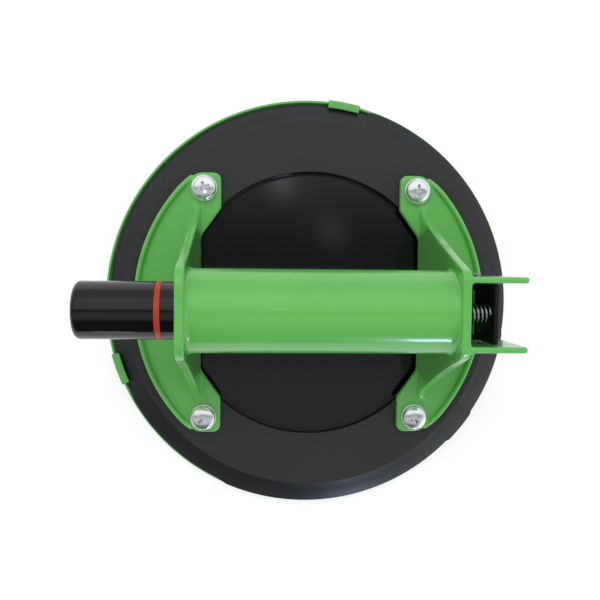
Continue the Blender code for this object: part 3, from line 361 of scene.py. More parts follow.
tree = nylon.node_tree
shader = tree.nodes["Principled BSDF"]
place = add_node(tree, "TexCoord").outputs["Object"]
level = add_node(tree, "VectorMath", {0: place, 1: (1.0, 1.0, 0.0)}, operation="MULTIPLY")
from_axis = add_node(tree, "VectorMath", {0: level.outputs[0]}, operation="LENGTH")
reach = {"From Min": polish_end * MM, "From Max": grain_start * MM}
zone = add_node(tree, "MapRange", {"Value": from_axis.outputs["Value"], **reach})
for socket, polished in (("Base Color", polished_colour), ("Roughness", polished_gloss)):
    grained = shader.inputs[socket].links[0].from_socket
    sides = {"Fac": zone.outputs["Result"], "Color1": polished, "Color2": grained}
    tree.links.new(add_node(tree, "MixRGB", sides).outputs["Color"], shader.inputs[socket])
print("nylon nodes:", len(tree.nodes))

# %% [markdown]
# ## Hands on a mesh
#
# These few functions are what a modeller does by hand: deselect everything, draw a line by
# extruding one vertex, spin it, fill an outline and extrude it, bevel, join and cut. Deselecting
# comes first each time, because loading the model leaves its nodes selected.


# %% Select, apply
def deselect():
    if bpy.context.mode != "OBJECT":
        bpy.ops.object.mode_set(mode="OBJECT")
    bpy.ops.object.select_all(action="DESELECT")


def take(piece):
    """Makes one piece the only one selected, in object mode."""
    deselect()
    bpy.context.view_layer.objects.active = piece
    piece.select_set(True)


def apply_modifier(piece, kind, **settings):
    take(piece)
    bpy.ops.object.modifier_add(type=kind)
    modifier = piece.modifiers[-1]
    for name, value in settings.items():
        setattr(modifier, name, value)
    bpy.ops.object.modifier_apply(modifier=modifier.name)
    return piece


def pick(piece, test, kind="verts"):
    """In edit mode, selects only the vertices or edges whose middle passes a test, in mm."""
    take(piece)
    bpy.ops.object.mode_set(mode="EDIT")
    bpy.ops.mesh.select_mode(type={"verts": "VERT", "edges": "EDGE"}[kind])
    bpy.ops.mesh.select_all(action="DESELECT")
    mesh = bmesh.from_edit_mesh(piece.data)
    for part in getattr(mesh, kind):
        corners = [part] if kind == "verts" else part.verts
        middle = sum((corner.co for corner in corners), Vector()) / len(corners)
        if test(*(middle / MM)):
            part.select_set(True)
    mesh.select_flush_mode()
    bmesh.update_edit_mesh(piece.data)


def everything(x, y, z):
    """A test for pick that every vertex passes."""
    return True


# %% Outlines with round corners
def rounded(points, steps=6):
    """An open outline. A point with a third number gets a round corner of that radius."""
    result = [points[0][:2]]
    for before, corner, after in zip(points, points[1:], points[2:]):
        if len(corner) < 3:
            result.append(corner)
            continue
        radius = corner[2]
        middle = Vector(corner[:2])
        towards = [(Vector(other[:2]) - middle).normalized() for other in (before, after)]
        half = towards[0].angle(towards[1]) / 2
        centre = middle + (towards[0] + towards[1]).normalized() * (radius / math.sin(half))
        start, end = (middle + way * (radius / math.tan(half)) - centre for way in towards)
        whole_turn = start.angle_signed(end)
        first = math.atan2(start.y, start.x)
        for step in range(steps + 1):
            angle = first - whole_turn * step / steps
            across, up = radius * math.cos(angle), radius * math.sin(angle)
            result.append((centre.x + across, centre.y + up))
    return [*result, points[-1][:2]]


def arc(radius, start, end, steps, centre=(0, 0)):
    """Points on a part of a circle, from one angle to another in degrees."""
    angles = [math.radians(start + (end - start) * step / steps) for step in range(steps + 1)]
    u, v = centre
    return [(u + radius * math.cos(angle), v + radius * math.sin(angle)) for angle in angles]


def with_mirror(half):
    """A half outline followed by its mirror image across the first axis' zero."""
    return [*half, *((-u, v) for u, v in reversed(half))]


# %% Draw, turn and extrude
WAYS = {"X": Vector((1, 0, 0)), "Y": Vector((0, 1, 0)), "Z": Vector((0, 0, 1))}
MERGE = 0.001 * MM


def draw(name, points, closed=False):
    """A wire through points in mm: a plane merged to one vertex, which is extruded along them."""
    deselect()
    bpy.ops.mesh.primitive_plane_add(size=MM, location=[value * MM for value in points[0]])
    piece = bpy.context.object
    piece.name = piece.data.name = name
    bpy.ops.object.transform_apply(location=True)
    bpy.ops.object.mode_set(mode="EDIT")
    bpy.ops.mesh.select_mode(type="VERT")
    bpy.ops.mesh.merge(type="CENTER")
    ends = [*points[1:], points[0]] if closed else points[1:]
    for start, end in zip(points, ends):
        step = [(b - a) * MM for a, b in zip(start, end)]
        bpy.ops.mesh.extrude_vertices_move(TRANSFORM_OT_translate={"value": step})
    bpy.ops.mesh.select_all(action="SELECT")
    bpy.ops.mesh.remove_doubles(threshold=MERGE)
    return piece


def turn(name, profile, along="Z", centre=(0, 0, 0), steps=96, closed=False, start=0, sweep=360):
    """Turns a profile of (radius, height) pairs in mm round an axis through centre."""
    cos, sin = math.cos(math.radians(start)), math.sin(math.radians(start))
    places = {
        "X": [(h, 0, r) for r, h in profile],
        "Y": [(0, h, r) for r, h in profile],
        "Z": [(r * cos, r * sin, h) for r, h in profile],
    }[along]
    points = [tuple(a + b for a, b in zip(point, centre)) for point in places]
    piece = draw(name, points, closed)
    axis = tuple(WAYS[along])
    middle = [value * MM for value in centre]
    bpy.ops.mesh.spin(steps=steps, angle=-math.radians(sweep), center=middle, axis=axis)
    return closed_up(piece, fill=sweep < 360)


def closed_up(piece, fill=False):
    """Merges the seam, fills open ends where asked, and turns all faces outwards."""
    bpy.ops.mesh.select_all(action="SELECT")
    bpy.ops.mesh.remove_doubles(threshold=MERGE)
    if fill:
        bpy.ops.mesh.select_all(action="SELECT")
        bpy.ops.mesh.fill_holes(sides=0)
    bpy.ops.mesh.select_all(action="SELECT")
    bpy.ops.mesh.normals_make_consistent(inside=False)
    bpy.ops.object.mode_set(mode="OBJECT")
    return piece


def slab(name, outline, low, high, along="Z"):
    """Fills an outline at one level and extrudes it to another. It has the other two axes."""
    places = {
        "X": [(low, u, v) for u, v in outline],
        "Y": [(u, low, v) for u, v in outline],
        "Z": [(u, v, low) for u, v in outline],
    }[along]
    piece = draw(name, places, closed=True)
    bpy.ops.mesh.select_all(action="SELECT")
    bpy.ops.mesh.edge_face_add()
    rise = WAYS[along] * (high - low) * MM
    bpy.ops.mesh.extrude_region_move(TRANSFORM_OT_translate={"value": rise})
    return closed_up(piece)


# %% Sections turned through a part of the circle
def heading(x, y):
    """Degrees round the Z axis, from 0 to 360."""
    return math.degrees(math.atan2(y, x)) % 360


def taper_ends(piece, start, end, level, steps):
    """Flattens both ends of a part-turned section towards a level.

    Each step is a reach in degrees from the end, a factor for height and one for radius.
    """
    for reach, factor, inwards in steps:
        for stop in (start, end):
            pick(piece, lambda x, y, z: abs((heading(x, y) - stop + 180) % 360 - 180) < reach)
            middle = (0, 0, level * MM)
            bpy.ops.transform.resize(value=(inwards, inwards, factor), center_override=middle)


# %% Join, cut, soften
def combine(piece, others, operation):
    """Joins other pieces to this one, or cuts them from it, and removes them."""
    for other in others:
        apply_modifier(piece, "BOOLEAN", object=other, operation=operation, solver="EXACT")
        bpy.data.objects.remove(other)


def soften(piece, width, segments=2, angle=35):
    """Bevels every edge that is sharper than an angle."""
    limit = {"limit_method": "ANGLE", "angle_limit": math.radians(angle)}
    return apply_modifier(piece, "BEVEL", width=width * MM, segments=segments, **limit)


def put_together(piece, others):
    """Puts closed pieces in one mesh as they are. The rebuild that follows makes them one skin."""
    take(piece)
    for other in others:
        other.select_set(True)
    bpy.ops.object.join()
    return piece


def recast(piece, voxel, rounds):
    """Rebuilds the surface in small squares and smooths it, as round as a casting is."""
    apply_modifier(piece, "REMESH", mode="VOXEL", voxel_size=voxel * MM)
    apply_modifier(piece, "SMOOTH", factor=0.5, iterations=rounds)


def clean(piece):
    """Merges points that a cut or a bevel left in one place, and says if the skin is whole."""
    pick(piece, everything)
    bpy.ops.mesh.remove_doubles(threshold=MERGE)
    mesh = bmesh.from_edit_mesh(piece.data)
    closed = all(len(edge.link_faces) == 2 for edge in mesh.edges)
    outwards = mesh.calc_volume(signed=True) > 0
    bpy.ops.object.mode_set(mode="OBJECT")
    print(f"{piece.name}: closed {closed}, faces outwards {outwards}")


def hand_in(piece, body, slot, material, *nodes, angle=35):
    """Shades, paints and hangs a finished piece on its body, in place of CAD nodes."""
    clean(piece)
    take(piece)
    bpy.ops.object.transform_apply(location=True, rotation=True, scale=True)
    bpy.ops.object.shade_smooth_by_angle(angle=math.radians(angle))
    piece.data.materials.clear()
    piece.data.materials.append(material)
    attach(piece, body)
    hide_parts(*nodes)
    triangles = sum(len(face.vertices) - 2 for face in piece.data.polygons)
    print(f"{piece.name}: {triangles} triangles on {body}")


# %% Places from the model
def box_mm(node):
    """Lowest and highest corner of a CAD node, in mm."""
    return [tuple(value / MM for value in corner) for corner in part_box(node)]


plate_top = box_mm("backing_plate")[1][2]
foot_low = plate_top + 0.3
foot_top = foot_low + 4.0
web_inner, web_outer, web_top = 53.4, 57.2, box_mm("left_bracket")[1][2]
lean = 0.0175  # of the legs, in radians
grip_low, grip_high = box_mm("grip_tube")
grip_z = (grip_low[2] + grip_high[2]) / 2
grip_radius = (grip_high[2] - grip_low[2]) / 2
on_grip = {"along": "X", "centre": (0, 0, grip_z)}
pin_x, pin_z = 65.0, 72.0
on_pin = {"along": "Y", "centre": (pin_x, 0, pin_z)}
print(f"plate {plate_top:.1f}, foot {foot_top:.1f}, web {web_top:.1f}, grip axis {grip_z:.1f}")

# %% [markdown]
# ## Protective cover
#
# The cover is a shallow dish of green plastic that keeps the sealing face clean, and three hooks
# on its rim hold it on. It is one moulding: the dish is turned from its section, each hook is a
# section turned through nine degrees, and a union makes them one skin. The third hook is lower,
# because the pad's lip lies on top of it.

# %% Cover dish and hooks
cover_radius, dish_wall = 101.5, 100.3
dish_floor, rim_top = 1.8, 4.2
hook_top = box_mm("protective_cover")[1][2]
hook_places = ((80.3, hook_top), (199.7, hook_top), (321.1, hook_top - 1.3))
hook_sweep = math.degrees(16.0 / cover_radius)

dish_section = rounded(
    [
        (0, dish_floor),
        (dish_wall, dish_floor, 0.3),
        (dish_wall, rim_top, 0.35),
        (cover_radius, rim_top, 0.35),
        (cover_radius, 0, 0.8),
        (93.0, 0, 0.3),
        (92.2, 0.6, 0.3),
        (30.0, 0.6, 0.3),
        (29.2, 0.2, 0.3),
        (0, 0.2),
    ],
    4,
)
dish = turn("cover_dish", dish_section, steps=192)
hooks = []
for number, (middle, top) in enumerate(hook_places, 1):
    hook_section = rounded(
        [
            (cover_radius + 0.5, 1.3),
            (cover_radius + 0.5, top, 0.8),
            (cover_radius - 3.4, top, 0.4),
            (cover_radius - 3.4, top - 1.2, 0.35),
            (100.4, top - 1.2, 0.4),
            (100.4, 1.3),
        ],
        3,
    )
    part_turn = {"steps": 10, "start": middle - hook_sweep / 2, "sweep": hook_sweep}
    hooks.append(soften(turn(f"hook_{number}", hook_section, closed=True, **part_turn), 0.35))
combine(dish, hooks, "UNION")
hand_in(dish, "cover", "green_cover_plastic", cover_plastic, "protective_cover", angle=30)

# %% [markdown]
# ## Rubber pad
#
# The pad is one thick rubber moulding: a flat seat under the plate, and a thin lip that slopes
# out to the rim. Underneath, a flat sealing edge runs round a shallow hollow, which shows when
# the cover comes off. All of it is round, so one section is turned about the axis.

# %% Pad
seat_z = box_mm("rubber_pad")[0][2] + 7.9
middle_z, hollow_z, seal_z = 7.9, 4.8, 2.1
pad_section = rounded(
    [
        (0, middle_z),
        (62.2, middle_z, 0.5),
        (64.8, seat_z, 0.5),
        (90.5, seat_z, 0.2),
        (90.8, seat_z - 0.7, 0.3),
        (95.5, 6.55, 10.0),
        (98.9, 4.3, 0.5),
        (99.5, 3.7, 0.3),
        (99.5, seal_z, 0.25),
        (92.0, seal_z, 0.4),
        (87.0, hollow_z, 1.0),
        (60.0, hollow_z),
        (0, hollow_z),
    ],
    4,
)
pad = turn("pad_disc", pad_section, steps=192)
print(f"pad seat at {seat_z:.1f} mm")

# %% [markdown]
# Only two of the three hooks hold the lip down here. On the other side the soft lip lies on top of
# the rim, and on top of the third hook. Bending the whole pad would be truer, but would shift its
# seat too. So both places are short sections turned through a part of the circle and joined on.

# %% Lip over the rim and over the third hook
rest_z = 4.4
flap_start, flap_sweep = 206.6, 226.8
bulge_start, bulge_sweep = 315.6, 11.0

over_rim = [(90.9, 9.2), (96.0, 7.2), (101.3, 5.1), (101.7, 4.8)]
over_rim += [(101.6, rest_z), (99.0, rest_z), (90.9, rest_z)]
over_hook = [(90.95, 9.86), (92.5, 9.24), (101.6, 5.9), (102.1, 5.6), (102.1, 5.2)]
over_hook += [(98.0, 5.2), (97.4, rest_z), (90.95, rest_z)]
flap = turn("flap", over_rim, steps=126, closed=True, start=flap_start, sweep=flap_sweep)
bulge = turn("bulge", over_hook, steps=12, closed=True, start=bulge_start, sweep=bulge_sweep)

# The soft edge isn't a true circle. In each band, in degrees, it is drawn in by a factor.
edge_bands = ((205, 243, 0.9905), (243, 246, 0.995), (352, 360, 0.9945), (-1, 75, 0.9945))
for start, end, inwards in edge_bands:
    pick(flap, lambda x, y, z: math.hypot(x, y) > 101.2 and start < heading(x, y) <= end)
    bpy.ops.transform.resize(value=(inwards, inwards, 1), center_override=(0, 0, 0))
flap_taper = [(0.5, 0.6, 0.992), (2.3, 0.9, 0.997)]
taper_ends(flap, flap_start, flap_start + flap_sweep, rest_z, flap_taper)
taper_ends(bulge, bulge_start, bulge_start + bulge_sweep, rest_z, [(0.3, 0.84, 0.996)])
combine(pad, [flap, bulge], "UNION")
hand_in(pad, "lifter", "pad_rubber", rubber, "rubber_pad", angle=30)

# %% [markdown]
# ## Backing plate
#
# The plate is moulded nylon: a raised ring that carries the feet, round a dished floor. It is
# turned as well, and its outer edge and the rim of the floor get the small radii that catch the
# light in the photograph. A point close to each bend keeps the wide flat faces flat to the eye,
# because smooth shading would otherwise bend the mirror in them.

# %% Plate
plate_radius = box_mm("backing_plate")[1][0]
floor_z = plate_top - 4.3
under_z = floor_z - 1.7
ring_under_z = plate_top - 4.0
plate_section = rounded(
    [
        (0, floor_z),
        (plate_radius - 27.4, floor_z),
        (plate_radius - 25.75, floor_z, 0.5),
        (plate_radius - 25.6, plate_top, 0.5),
        (plate_radius - 24.6, plate_top),
        (plate_radius - 0.8, plate_top),
        (plate_radius, plate_top, 0.15),
        (plate_radius, ring_under_z, 0.2),
        (plate_radius - 25.2, ring_under_z, 0.2),
        (plate_radius - 27.8, under_z, 0.2),
        (0, under_z),
    ],
    5,
)
plate = turn("plate_disc", plate_section, steps=192)
hand_in(plate, "lifter", "plate_black", nylon, "backing_plate", angle=30)

# %% [markdown]
# ## End brackets
#
# Each bracket is a casting: a foot with two screw tabs and a raised lip along its outer arc, and
# a leg that leans out slightly. Castings have no sharp corners at all, inside or out. Bevelling
# each edge would take many steps and break where three bevels meet. So the parts are drawn with
# their own outlines, put together, rebuilt in small squares and smoothed, which rounds every
# corner at once. The screw holes are cut afterwards, so they stay crisp.

# %% Screw places and the foot's outline
screw_boxes = [box_mm(f"foot_screw_{number}") for number in (1, 2, 3, 4)]
screw_spots = [tuple((a + b) / 2 for a, b in zip(*box)) for box in screw_boxes]
screw_x, screw_y = abs(screw_spots[0][0]), abs(screw_spots[0][1])
foot_radius = plate_radius - 5.0
foot_half = screw_y + 7.7
foot_inner = screw_x - 8.2
tab_corner = foot_half - 17.3
edge_bevel = 1.2
foot_end = math.degrees(math.asin(foot_half / foot_radius))
arc_end = math.radians(foot_end - 2.2)


def foot_outline(side):
    """The foot from above: arc outside, waist at the leg, a screw tab at each end."""
    edge_radius = foot_radius - edge_bevel
    upper = [
        (edge_radius * math.cos(arc_end), edge_radius * math.sin(arc_end)),
        (math.sqrt(edge_radius**2 - foot_half**2), foot_half, 7.0),
        (foot_inner, foot_half, 3.5),
        (foot_inner, tab_corner, 3.5),
        (web_inner, 32.6, 6.0),
        (web_inner, 0),
    ]
    upper = rounded(upper, 6)
    lower = [(x, -y) for x, y in reversed(upper)]
    outside = arc(edge_radius, -math.degrees(arc_end), math.degrees(arc_end), 40)
    return [(side * x, y) for x, y in [*upper[:-1], *lower[1:-1], *outside[1:-1]]]


print(f"screws {screw_x:.1f} and {screw_y:.1f} mm from the middle, foot {2 * foot_half:.1f} long")


# %% Foot and lip
def make_foot(name, side):
    """The flat foot with soft upper edges."""
    foot = slab(name, foot_outline(side), foot_low, foot_top)
    pick(foot, lambda x, y, z: z > foot_top - 0.1, "edges")
    bpy.ops.mesh.bevel(offset=edge_bevel * MM, segments=3)
    bpy.ops.object.mode_set(mode="OBJECT")
    return foot


def make_lip(side):
    """The low wall along the outer arc, with a round top and ends that run out."""
    crown = 1.2
    lip_section = [
        (foot_radius - 2 * crown, foot_low),
        (foot_radius, foot_low),
        *arc(crown, 0, 180, 8, (foot_radius - crown, foot_top + 1.8)),
    ]
    middle = 0 if side > 0 else 180
    lip_end = foot_end - 1.0
    part_turn = {"steps": 48, "start": middle - lip_end, "sweep": 2 * lip_end}
    lip = turn("lip", lip_section, closed=True, **part_turn)
    run_out = [(1.0, 0.62, 1), (3.0, 0.8, 1), (5.0, 0.9, 1)]
    taper_ends(lip, middle - lip_end, middle + lip_end, foot_low, run_out)
    return lip


# %% Leg and its hollow roots
fillet_size, fillet_half, fillet_even = 3.4, 47.0, 36.0


def make_leg(side):
    """The leg: half an outline and its mirror image, made a plate that leans outwards."""
    shoulder = 9.0 if side < 0 else 5.0
    leg_half = [
        (48.2, foot_low + 1),
        (48.2, foot_top + 0.3),
        (43.9, foot_top + 1.7, 8.0),
        (28.8, 58.0, 40.0),
        (17.0, web_top, shoulder),
        (0, web_top),
    ]
    low, high = sorted((side * web_inner, side * web_outer))
    leg = slab("leg", with_mirror(rounded(leg_half, 10)[:-1]), low, high, "X")
    pick(leg, everything)
    pivot = (side * web_inner * MM, 0, foot_top * MM)
    bpy.ops.transform.rotate(value=-side * lean, orient_axis="Y", center_override=pivot)
    return leg


def make_fillets(side):
    """The hollow roots of a leg, inside and outside. Their ends shrink into the foot."""
    fillets = []
    low, high = foot_top - 1, foot_top + fillet_size
    for face, way in ((web_inner, -1), (web_outer, 1)):
        wedge = [(side * (face - way), low), (side * (face - way), high)]
        for u, v in reversed(arc(fillet_size, 0, 90, 6)):
            wedge.append((side * (face + way * (fillet_size - u)), high - v))
        wedge.append((side * (face + way * fillet_size), low))
        fillet = slab("fillet", wedge, -fillet_half, fillet_half, "Y")
        pick(fillet, everything)
        for y in (-fillet_even, fillet_even):
            bpy.ops.mesh.select_all(action="SELECT")
            bpy.ops.mesh.bisect(plane_co=(0, y * MM, 0), plane_no=(0, 1, 0))
        pick(fillet, lambda x, y, z: abs(y) > fillet_half - 1)
        root = (side * (face - way) * MM, 0, low * MM)
        bpy.ops.transform.resize(value=(0.25, 1, 0.3), center_override=root)
        bpy.ops.object.mode_set(mode="OBJECT")
        fillets.append(fillet)
    # The inner one would stand out past the foot's waist, so only what is above the foot stays.
    above_foot = slab("above_foot", foot_outline(side), foot_top - 2, foot_top + 4)
    combine(fillets[0], [above_foot], "INTERSECT")
    return fillets


# %% Two castings
def make_bracket(name, side):
    foot = make_foot(name, side)
    return put_together(foot, [make_lip(side), make_leg(side), *make_fillets(side)])


left = make_bracket("left_casting", -1)
right = make_bracket("right_casting", 1)
print("castings drawn:", len(left.data.polygons), len(right.data.polygons))

# %% [markdown]
# The right casting also has two guard ears that keep the lever from being pressed by chance. Their
# lower edge slopes from the leg to the tip. They are flat plates, so an outline that is extruded is
# all they need before they are joined to the casting.

# %% Ears, then the cast surface
ear_back, ear_tip = 56.2, 81.6
ear_thick, ear_sides = 2.5, (-15.2, 12.7)
cast_square, cast_rounds = 0.55, 5

ear_corners = [(ear_back, web_top), (ear_tip, web_top, 1.0), (ear_tip, 60.5, 3.0)]
ear_outline = rounded([*ear_corners, (ear_back, 33.0), (ear_back, web_top)], 6)[:-1]
ears = [slab("ear", ear_outline, low, low + ear_thick, "Y") for low in ear_sides]
put_together(right, ears)
for casting in (left, right):
    recast(casting, cast_square, cast_rounds)
print("cast surfaces:", len(left.data.polygons), len(right.data.polygons))

# %% [markdown]
# The holes are cut in the cast surface: two for screws in each foot, one for the plunger in the
# left leg, and in the right casting one for the air nipple, one for the hinge pin and a window
# through which the valve housing reaches the plate.

# %% Holes
screw_hole, nipple_hole, plunger_hole, pin_hole = 3.3, 3.3, 13.4, 1.9
window = [(58.4, -8.8), (58.4, 8.8), (81.5, 8.8), (81.5, -8.8)]


def drill(radius, low, high, along="Z", centre=(0, 0, 0), steps=32):
    """A round cutter from low to high along an axis, in mm."""
    profile = [(0, low), (radius, low), (radius, high), (0, high)]
    return turn("hole", profile, along, centre=centre, steps=steps)


for side, casting in ((-1, left), (1, right)):
    feet = [(x, y, 0) for x, y, _ in screw_spots if x * side > 0]
    cutters = [drill(screw_hole, 10, 40, centre=spot) for spot in feet]
    if side < 0:
        cutters.append(drill(plunger_hole, -70, 0, steps=64, **on_grip))
    else:
        cutters.append(drill(nipple_hole, 40, 90, **on_grip))
        cutters.append(drill(pin_hole, -40, 40, **on_pin))
        cutters.append(slab("window", window, 10, 33))
    combine(casting, cutters, "DIFFERENCE")
hand_in(left, "lifter", "green_paint", enamel, "left_bracket", angle=60)
hand_in(right, "lifter", "green_paint", enamel, "right_bracket", angle=60)

# %% [markdown]
# ## Grip
#
# The grip is a drawn steel tube whose ends flow into the legs in a hollow curve, all under the
# same enamel. It is turned about its own axis with that curve in its section. The ends then lean
# with the legs, and what would stand above the legs' tops is cut away flat.

# %% Grip tube with flared ends
face_x = web_inner + lean * (grip_z - foot_top)
end_x = face_x + 0.4
flare, rise = 3.2, 1.3

flare_arc = []
for degrees in range(0, 91, 10):
    angle = math.radians(degrees)
    radius = grip_radius + rise - rise * math.cos(angle)
    flare_arc.append((radius, face_x - flare + flare * math.sin(angle)))
half_section = [*flare_arc, (grip_radius + rise, end_x), (grip_radius - 1.5, end_x)]
mirrored_half = [(radius, -x) for radius, x in reversed(half_section)]
grip = turn("grip_sleeve", [*half_section, *mirrored_half], steps=160, closed=True, **on_grip)
for side in (-1, 1):
    pick(grip, lambda x, y, z: side * x > face_x - flare - 0.5)
    pivot = (side * face_x * MM, 0, grip_z * MM)
    bpy.ops.transform.rotate(value=-side * lean, orient_axis="Y", center_override=pivot)
pick(grip, everything)
top = (0, 0, (web_top - 0.5) * MM)
bpy.ops.mesh.bisect(plane_co=top, plane_no=(0, 0, 1), use_fill=True, clear_outer=True)
closed_up(grip)
hand_in(grip, "lifter", "green_paint", enamel, "grip_tube", angle=40)

# %% [markdown]
# ## Screws and washers
#
# Four pan-head screws with a cross recess hold the feet. The head is turned, and the recess is cut
# by two crossed blades whose ends taper, as a driver's tip does. One is modelled, and the others
# are copies with their own mesh, each turned a little differently, as fitted screws are.

# %% One screw, four times
washer_low = foot_top + 0.3
head_low = washer_low + 1.5
screw_turns = (18, 4, 40, 27)


def copies(first, height):
    """Copies a piece modelled round the Z axis to the four screw places, at a height in mm."""
    made = []
    for number, (x, y, _) in enumerate(screw_spots, 1):
        twin = first.copy()
        twin.data = first.data.copy()
        bpy.context.scene.collection.objects.link(twin)
        twin.name = twin.data.name = f"{first.name}_{number}"
        twin.location = (x * MM, y * MM, height * MM)
        made.append(twin)
    bpy.data.objects.remove(first)
    return made


head = [(0, 3.9), (3.4, 3.7, 8.0), (5.7, 2.5, 1.5), (6.0, 0.0, 0.3), (3.0, 0.0), (3.0, -9.6)]
screw = turn("pan_screw", [*rounded(head, 6), (2.4, -10.2), (0, -10.2)], steps=64)
blade_outline = [(-2.9, 4.6), (-2.9, 2.6), (-1.0, 1.2), (1.0, 1.2), (2.9, 2.6), (2.9, 4.6)]
blades = [slab("blade", blade_outline, -0.65, 0.65, along) for along in ("Y", "X")]
hub = turn("hub", [(0, 1.4), (0.8, 1.6), (1.3, 4.6), (0, 4.6)], steps=24)
combine(screw, [*blades, hub], "DIFFERENCE")
for number, (each, degrees) in enumerate(zip(copies(screw, head_low), screw_turns), 1):
    each.rotation_euler.z = math.radians(degrees)
    hand_in(each, "lifter", "zinc_plating", zinc, f"foot_screw_{number}")

# %% One washer, four times
washer_section = [(6.3, 0.6), (6.3, 1.2, 0.25), (3.3, 1.2), (3.3, 0), (6.3, 0, 0.2), (6.3, 0.6)]
washer = turn("plain_washer", rounded(washer_section, 3)[:-1], steps=64, closed=True)
for number, each in enumerate(copies(washer, washer_low), 1):
    hand_in(each, "lifter", "zinc_plating", zinc, f"foot_washer_{number}")

# %% [markdown]
# ## Pump button and its rings
#
# The plunger is the black button on the left: pressed again and again, it pumps the air out from
# under the pad. Its red ring shows when the vacuum is lost. Button, ring and wiper are turned about
# the grip's axis.

# %% Button
button_radius, groove_radius, bore_radius = 12.0, 10.9, 9.5
collar_radius, collar_end = 13.6, box_mm("plunger")[1][0]
button_section = rounded(
    [
        (0, -96.5),
        (bore_radius, -96.5),
        (bore_radius, collar_end),
        (collar_radius, collar_end),
        (collar_radius, collar_end - 2.7),
        (button_radius, collar_end - 2.7),
        (button_radius, -64.8),
        (groove_radius, -64.8),
        (groove_radius, -67.5),
        (button_radius, -67.5, 0.1),
        (button_radius, -100.3, 2.6),
        (8.0, -100.3, 0.7),
        (7.6, -100.0, 0.7),
        (0, -100.0),
    ],
    8,
)
button = turn("pump_button", button_section, steps=128, **on_grip)
hand_in(button, "plunger", "plunger_plastic", button_plastic, "plunger", angle=30)

# %% Red ring and wiper
ring_end, ring_start, ring_bore = -67.4, -64.9, 11.2
ring_section = rounded(
    [
        (ring_bore, -66.0),
        (ring_bore, ring_start),
        (button_radius, ring_start, 0.2),
        (button_radius, ring_end, 0.2),
        (ring_bore, ring_end),
        (ring_bore, -66.0),
    ],
    4,
)[:-1]
ring = turn("red_ring", ring_section, steps=128, closed=True, **on_grip)
hand_in(ring, "plunger", "ring_red", ring_plastic, "indicator_ring")
wiper_bore, wiper_radius = 12.3, 13.1
wiper_low, wiper_high = (corner[0] for corner in box_mm("plunger_wiper"))
wiper_section = rounded(
    [
        (wiper_bore, wiper_high),
        (wiper_radius, wiper_high),
        (wiper_radius, wiper_low, 0.3),
        (wiper_bore, wiper_low, 0.2),
        (wiper_bore, wiper_high),
    ],
    3,
)[:-1]
wiper = turn("wiper_ring", wiper_section, steps=96, closed=True, **on_grip)
hand_in(wiper, "lifter", "seal_rubber", rubber, "plunger_wiper")

# %% [markdown]
# ## Release lever
#
# A thumb plate between the ears turns on a steel pin. Its two flanges carry the pin, and its lower
# arm presses a rubber disc on the vent. It is moulded in one piece, so the parts are joined first
# and all edges are rounded together.

# %% Lever
lever_outer = box_mm("release_lever")[1][0]
lever_inner = lever_outer - 1.6
flange_inner = lever_inner + 0.8
lever_low, lever_high = 44.5, 90.3
spring_axis = 84.0

arm = [(0, lever_low), (7.0, lever_low, 3.0), (7.0, 56.0, 2.0)]
lever_half = rounded([*arm, (12.2, 60.0, 2.0), (12.2, lever_high, 2.0), (0, lever_high)], 5)
lever = slab("thumb_lever", with_mirror(lever_half[1:-1]), lever_inner, lever_outer, "X")
flange = [(flange_inner, pin_z - 11.0), (flange_inner, pin_z + 11.0)]
flange += arc(3.6, 115, 245, 12, (pin_x, pin_z))
flanges = [slab("flange", flange, low, low + 1.8, "Y") for low in (-11.3, 9.5)]
peg_section = [(0, lever_inner - 1.5), (2.6, lever_inner - 1.5), (2.6, flange_inner)]
peg = turn("peg", [*peg_section, (0, flange_inner)], "X", centre=(0, 0, spring_axis), steps=32)
combine(lever, [*flanges, peg], "UNION")
combine(lever, [drill(pin_hole, -20, 20, **on_pin)], "DIFFERENCE")
soften(lever, 0.3, 3, 35)
hand_in(lever, "lever", "lever_plastic", lever_plastic, "release_lever")

# %% [markdown]
# ## Springs
#
# A spring is a small circle swept along a helix. The Screw modifier does both at once: it turns the
# circle about an axis and lifts it along it.


# %% Springs
def coil(name, radius, wire, low, high, turns, axis_z):
    """Wire wound round a line along X. Both radii, both ends and the line's height in mm."""
    deselect()
    bpy.ops.mesh.primitive_circle_add(
        vertices=14,
        radius=wire * MM,
        location=(low * MM, 0, (axis_z + radius) * MM),
        rotation=(math.pi / 2, 0, 0),
    )
    piece = bpy.context.object
    piece.name = piece.data.name = name
    bpy.ops.object.transform_apply(location=True, rotation=True)
    bpy.context.scene.cursor.location = (0, 0, axis_z * MM)
    bpy.ops.object.origin_set(type="ORIGIN_CURSOR")
    apply_modifier(
        piece,
        "SCREW",
        axis="X",
        angle=2 * math.pi,
        screw_offset=(high - low) / turns * MM,
        iterations=turns,
        steps=40,
        render_steps=40,
        merge_threshold=MERGE,
    )
    bpy.ops.object.mode_set(mode="EDIT")
    return closed_up(piece, fill=True)


lever_wire, pump_wire = 0.5, 0.65
low, high = (corner[0] for corner in box_mm("lever_spring"))
wound = (low + lever_wire, high - lever_wire, 5, spring_axis)
lever_coil = coil("lever_coil", 3.6, lever_wire, *wound)
hand_in(lever_coil, "lifter", "spring_steel", spring_wire, "lever_spring", angle=60)
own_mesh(lever_coil)
low, high = (corner[0] for corner in box_mm("pump_spring"))
wound = (low + pump_wire, high - pump_wire, 7, grip_z)
pump_coil = coil("pump_coil", 11.4, pump_wire, *wound)
hand_in(pump_coil, "lifter", "spring_steel", spring_wire, "pump_spring", angle=60)
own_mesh(pump_coil)

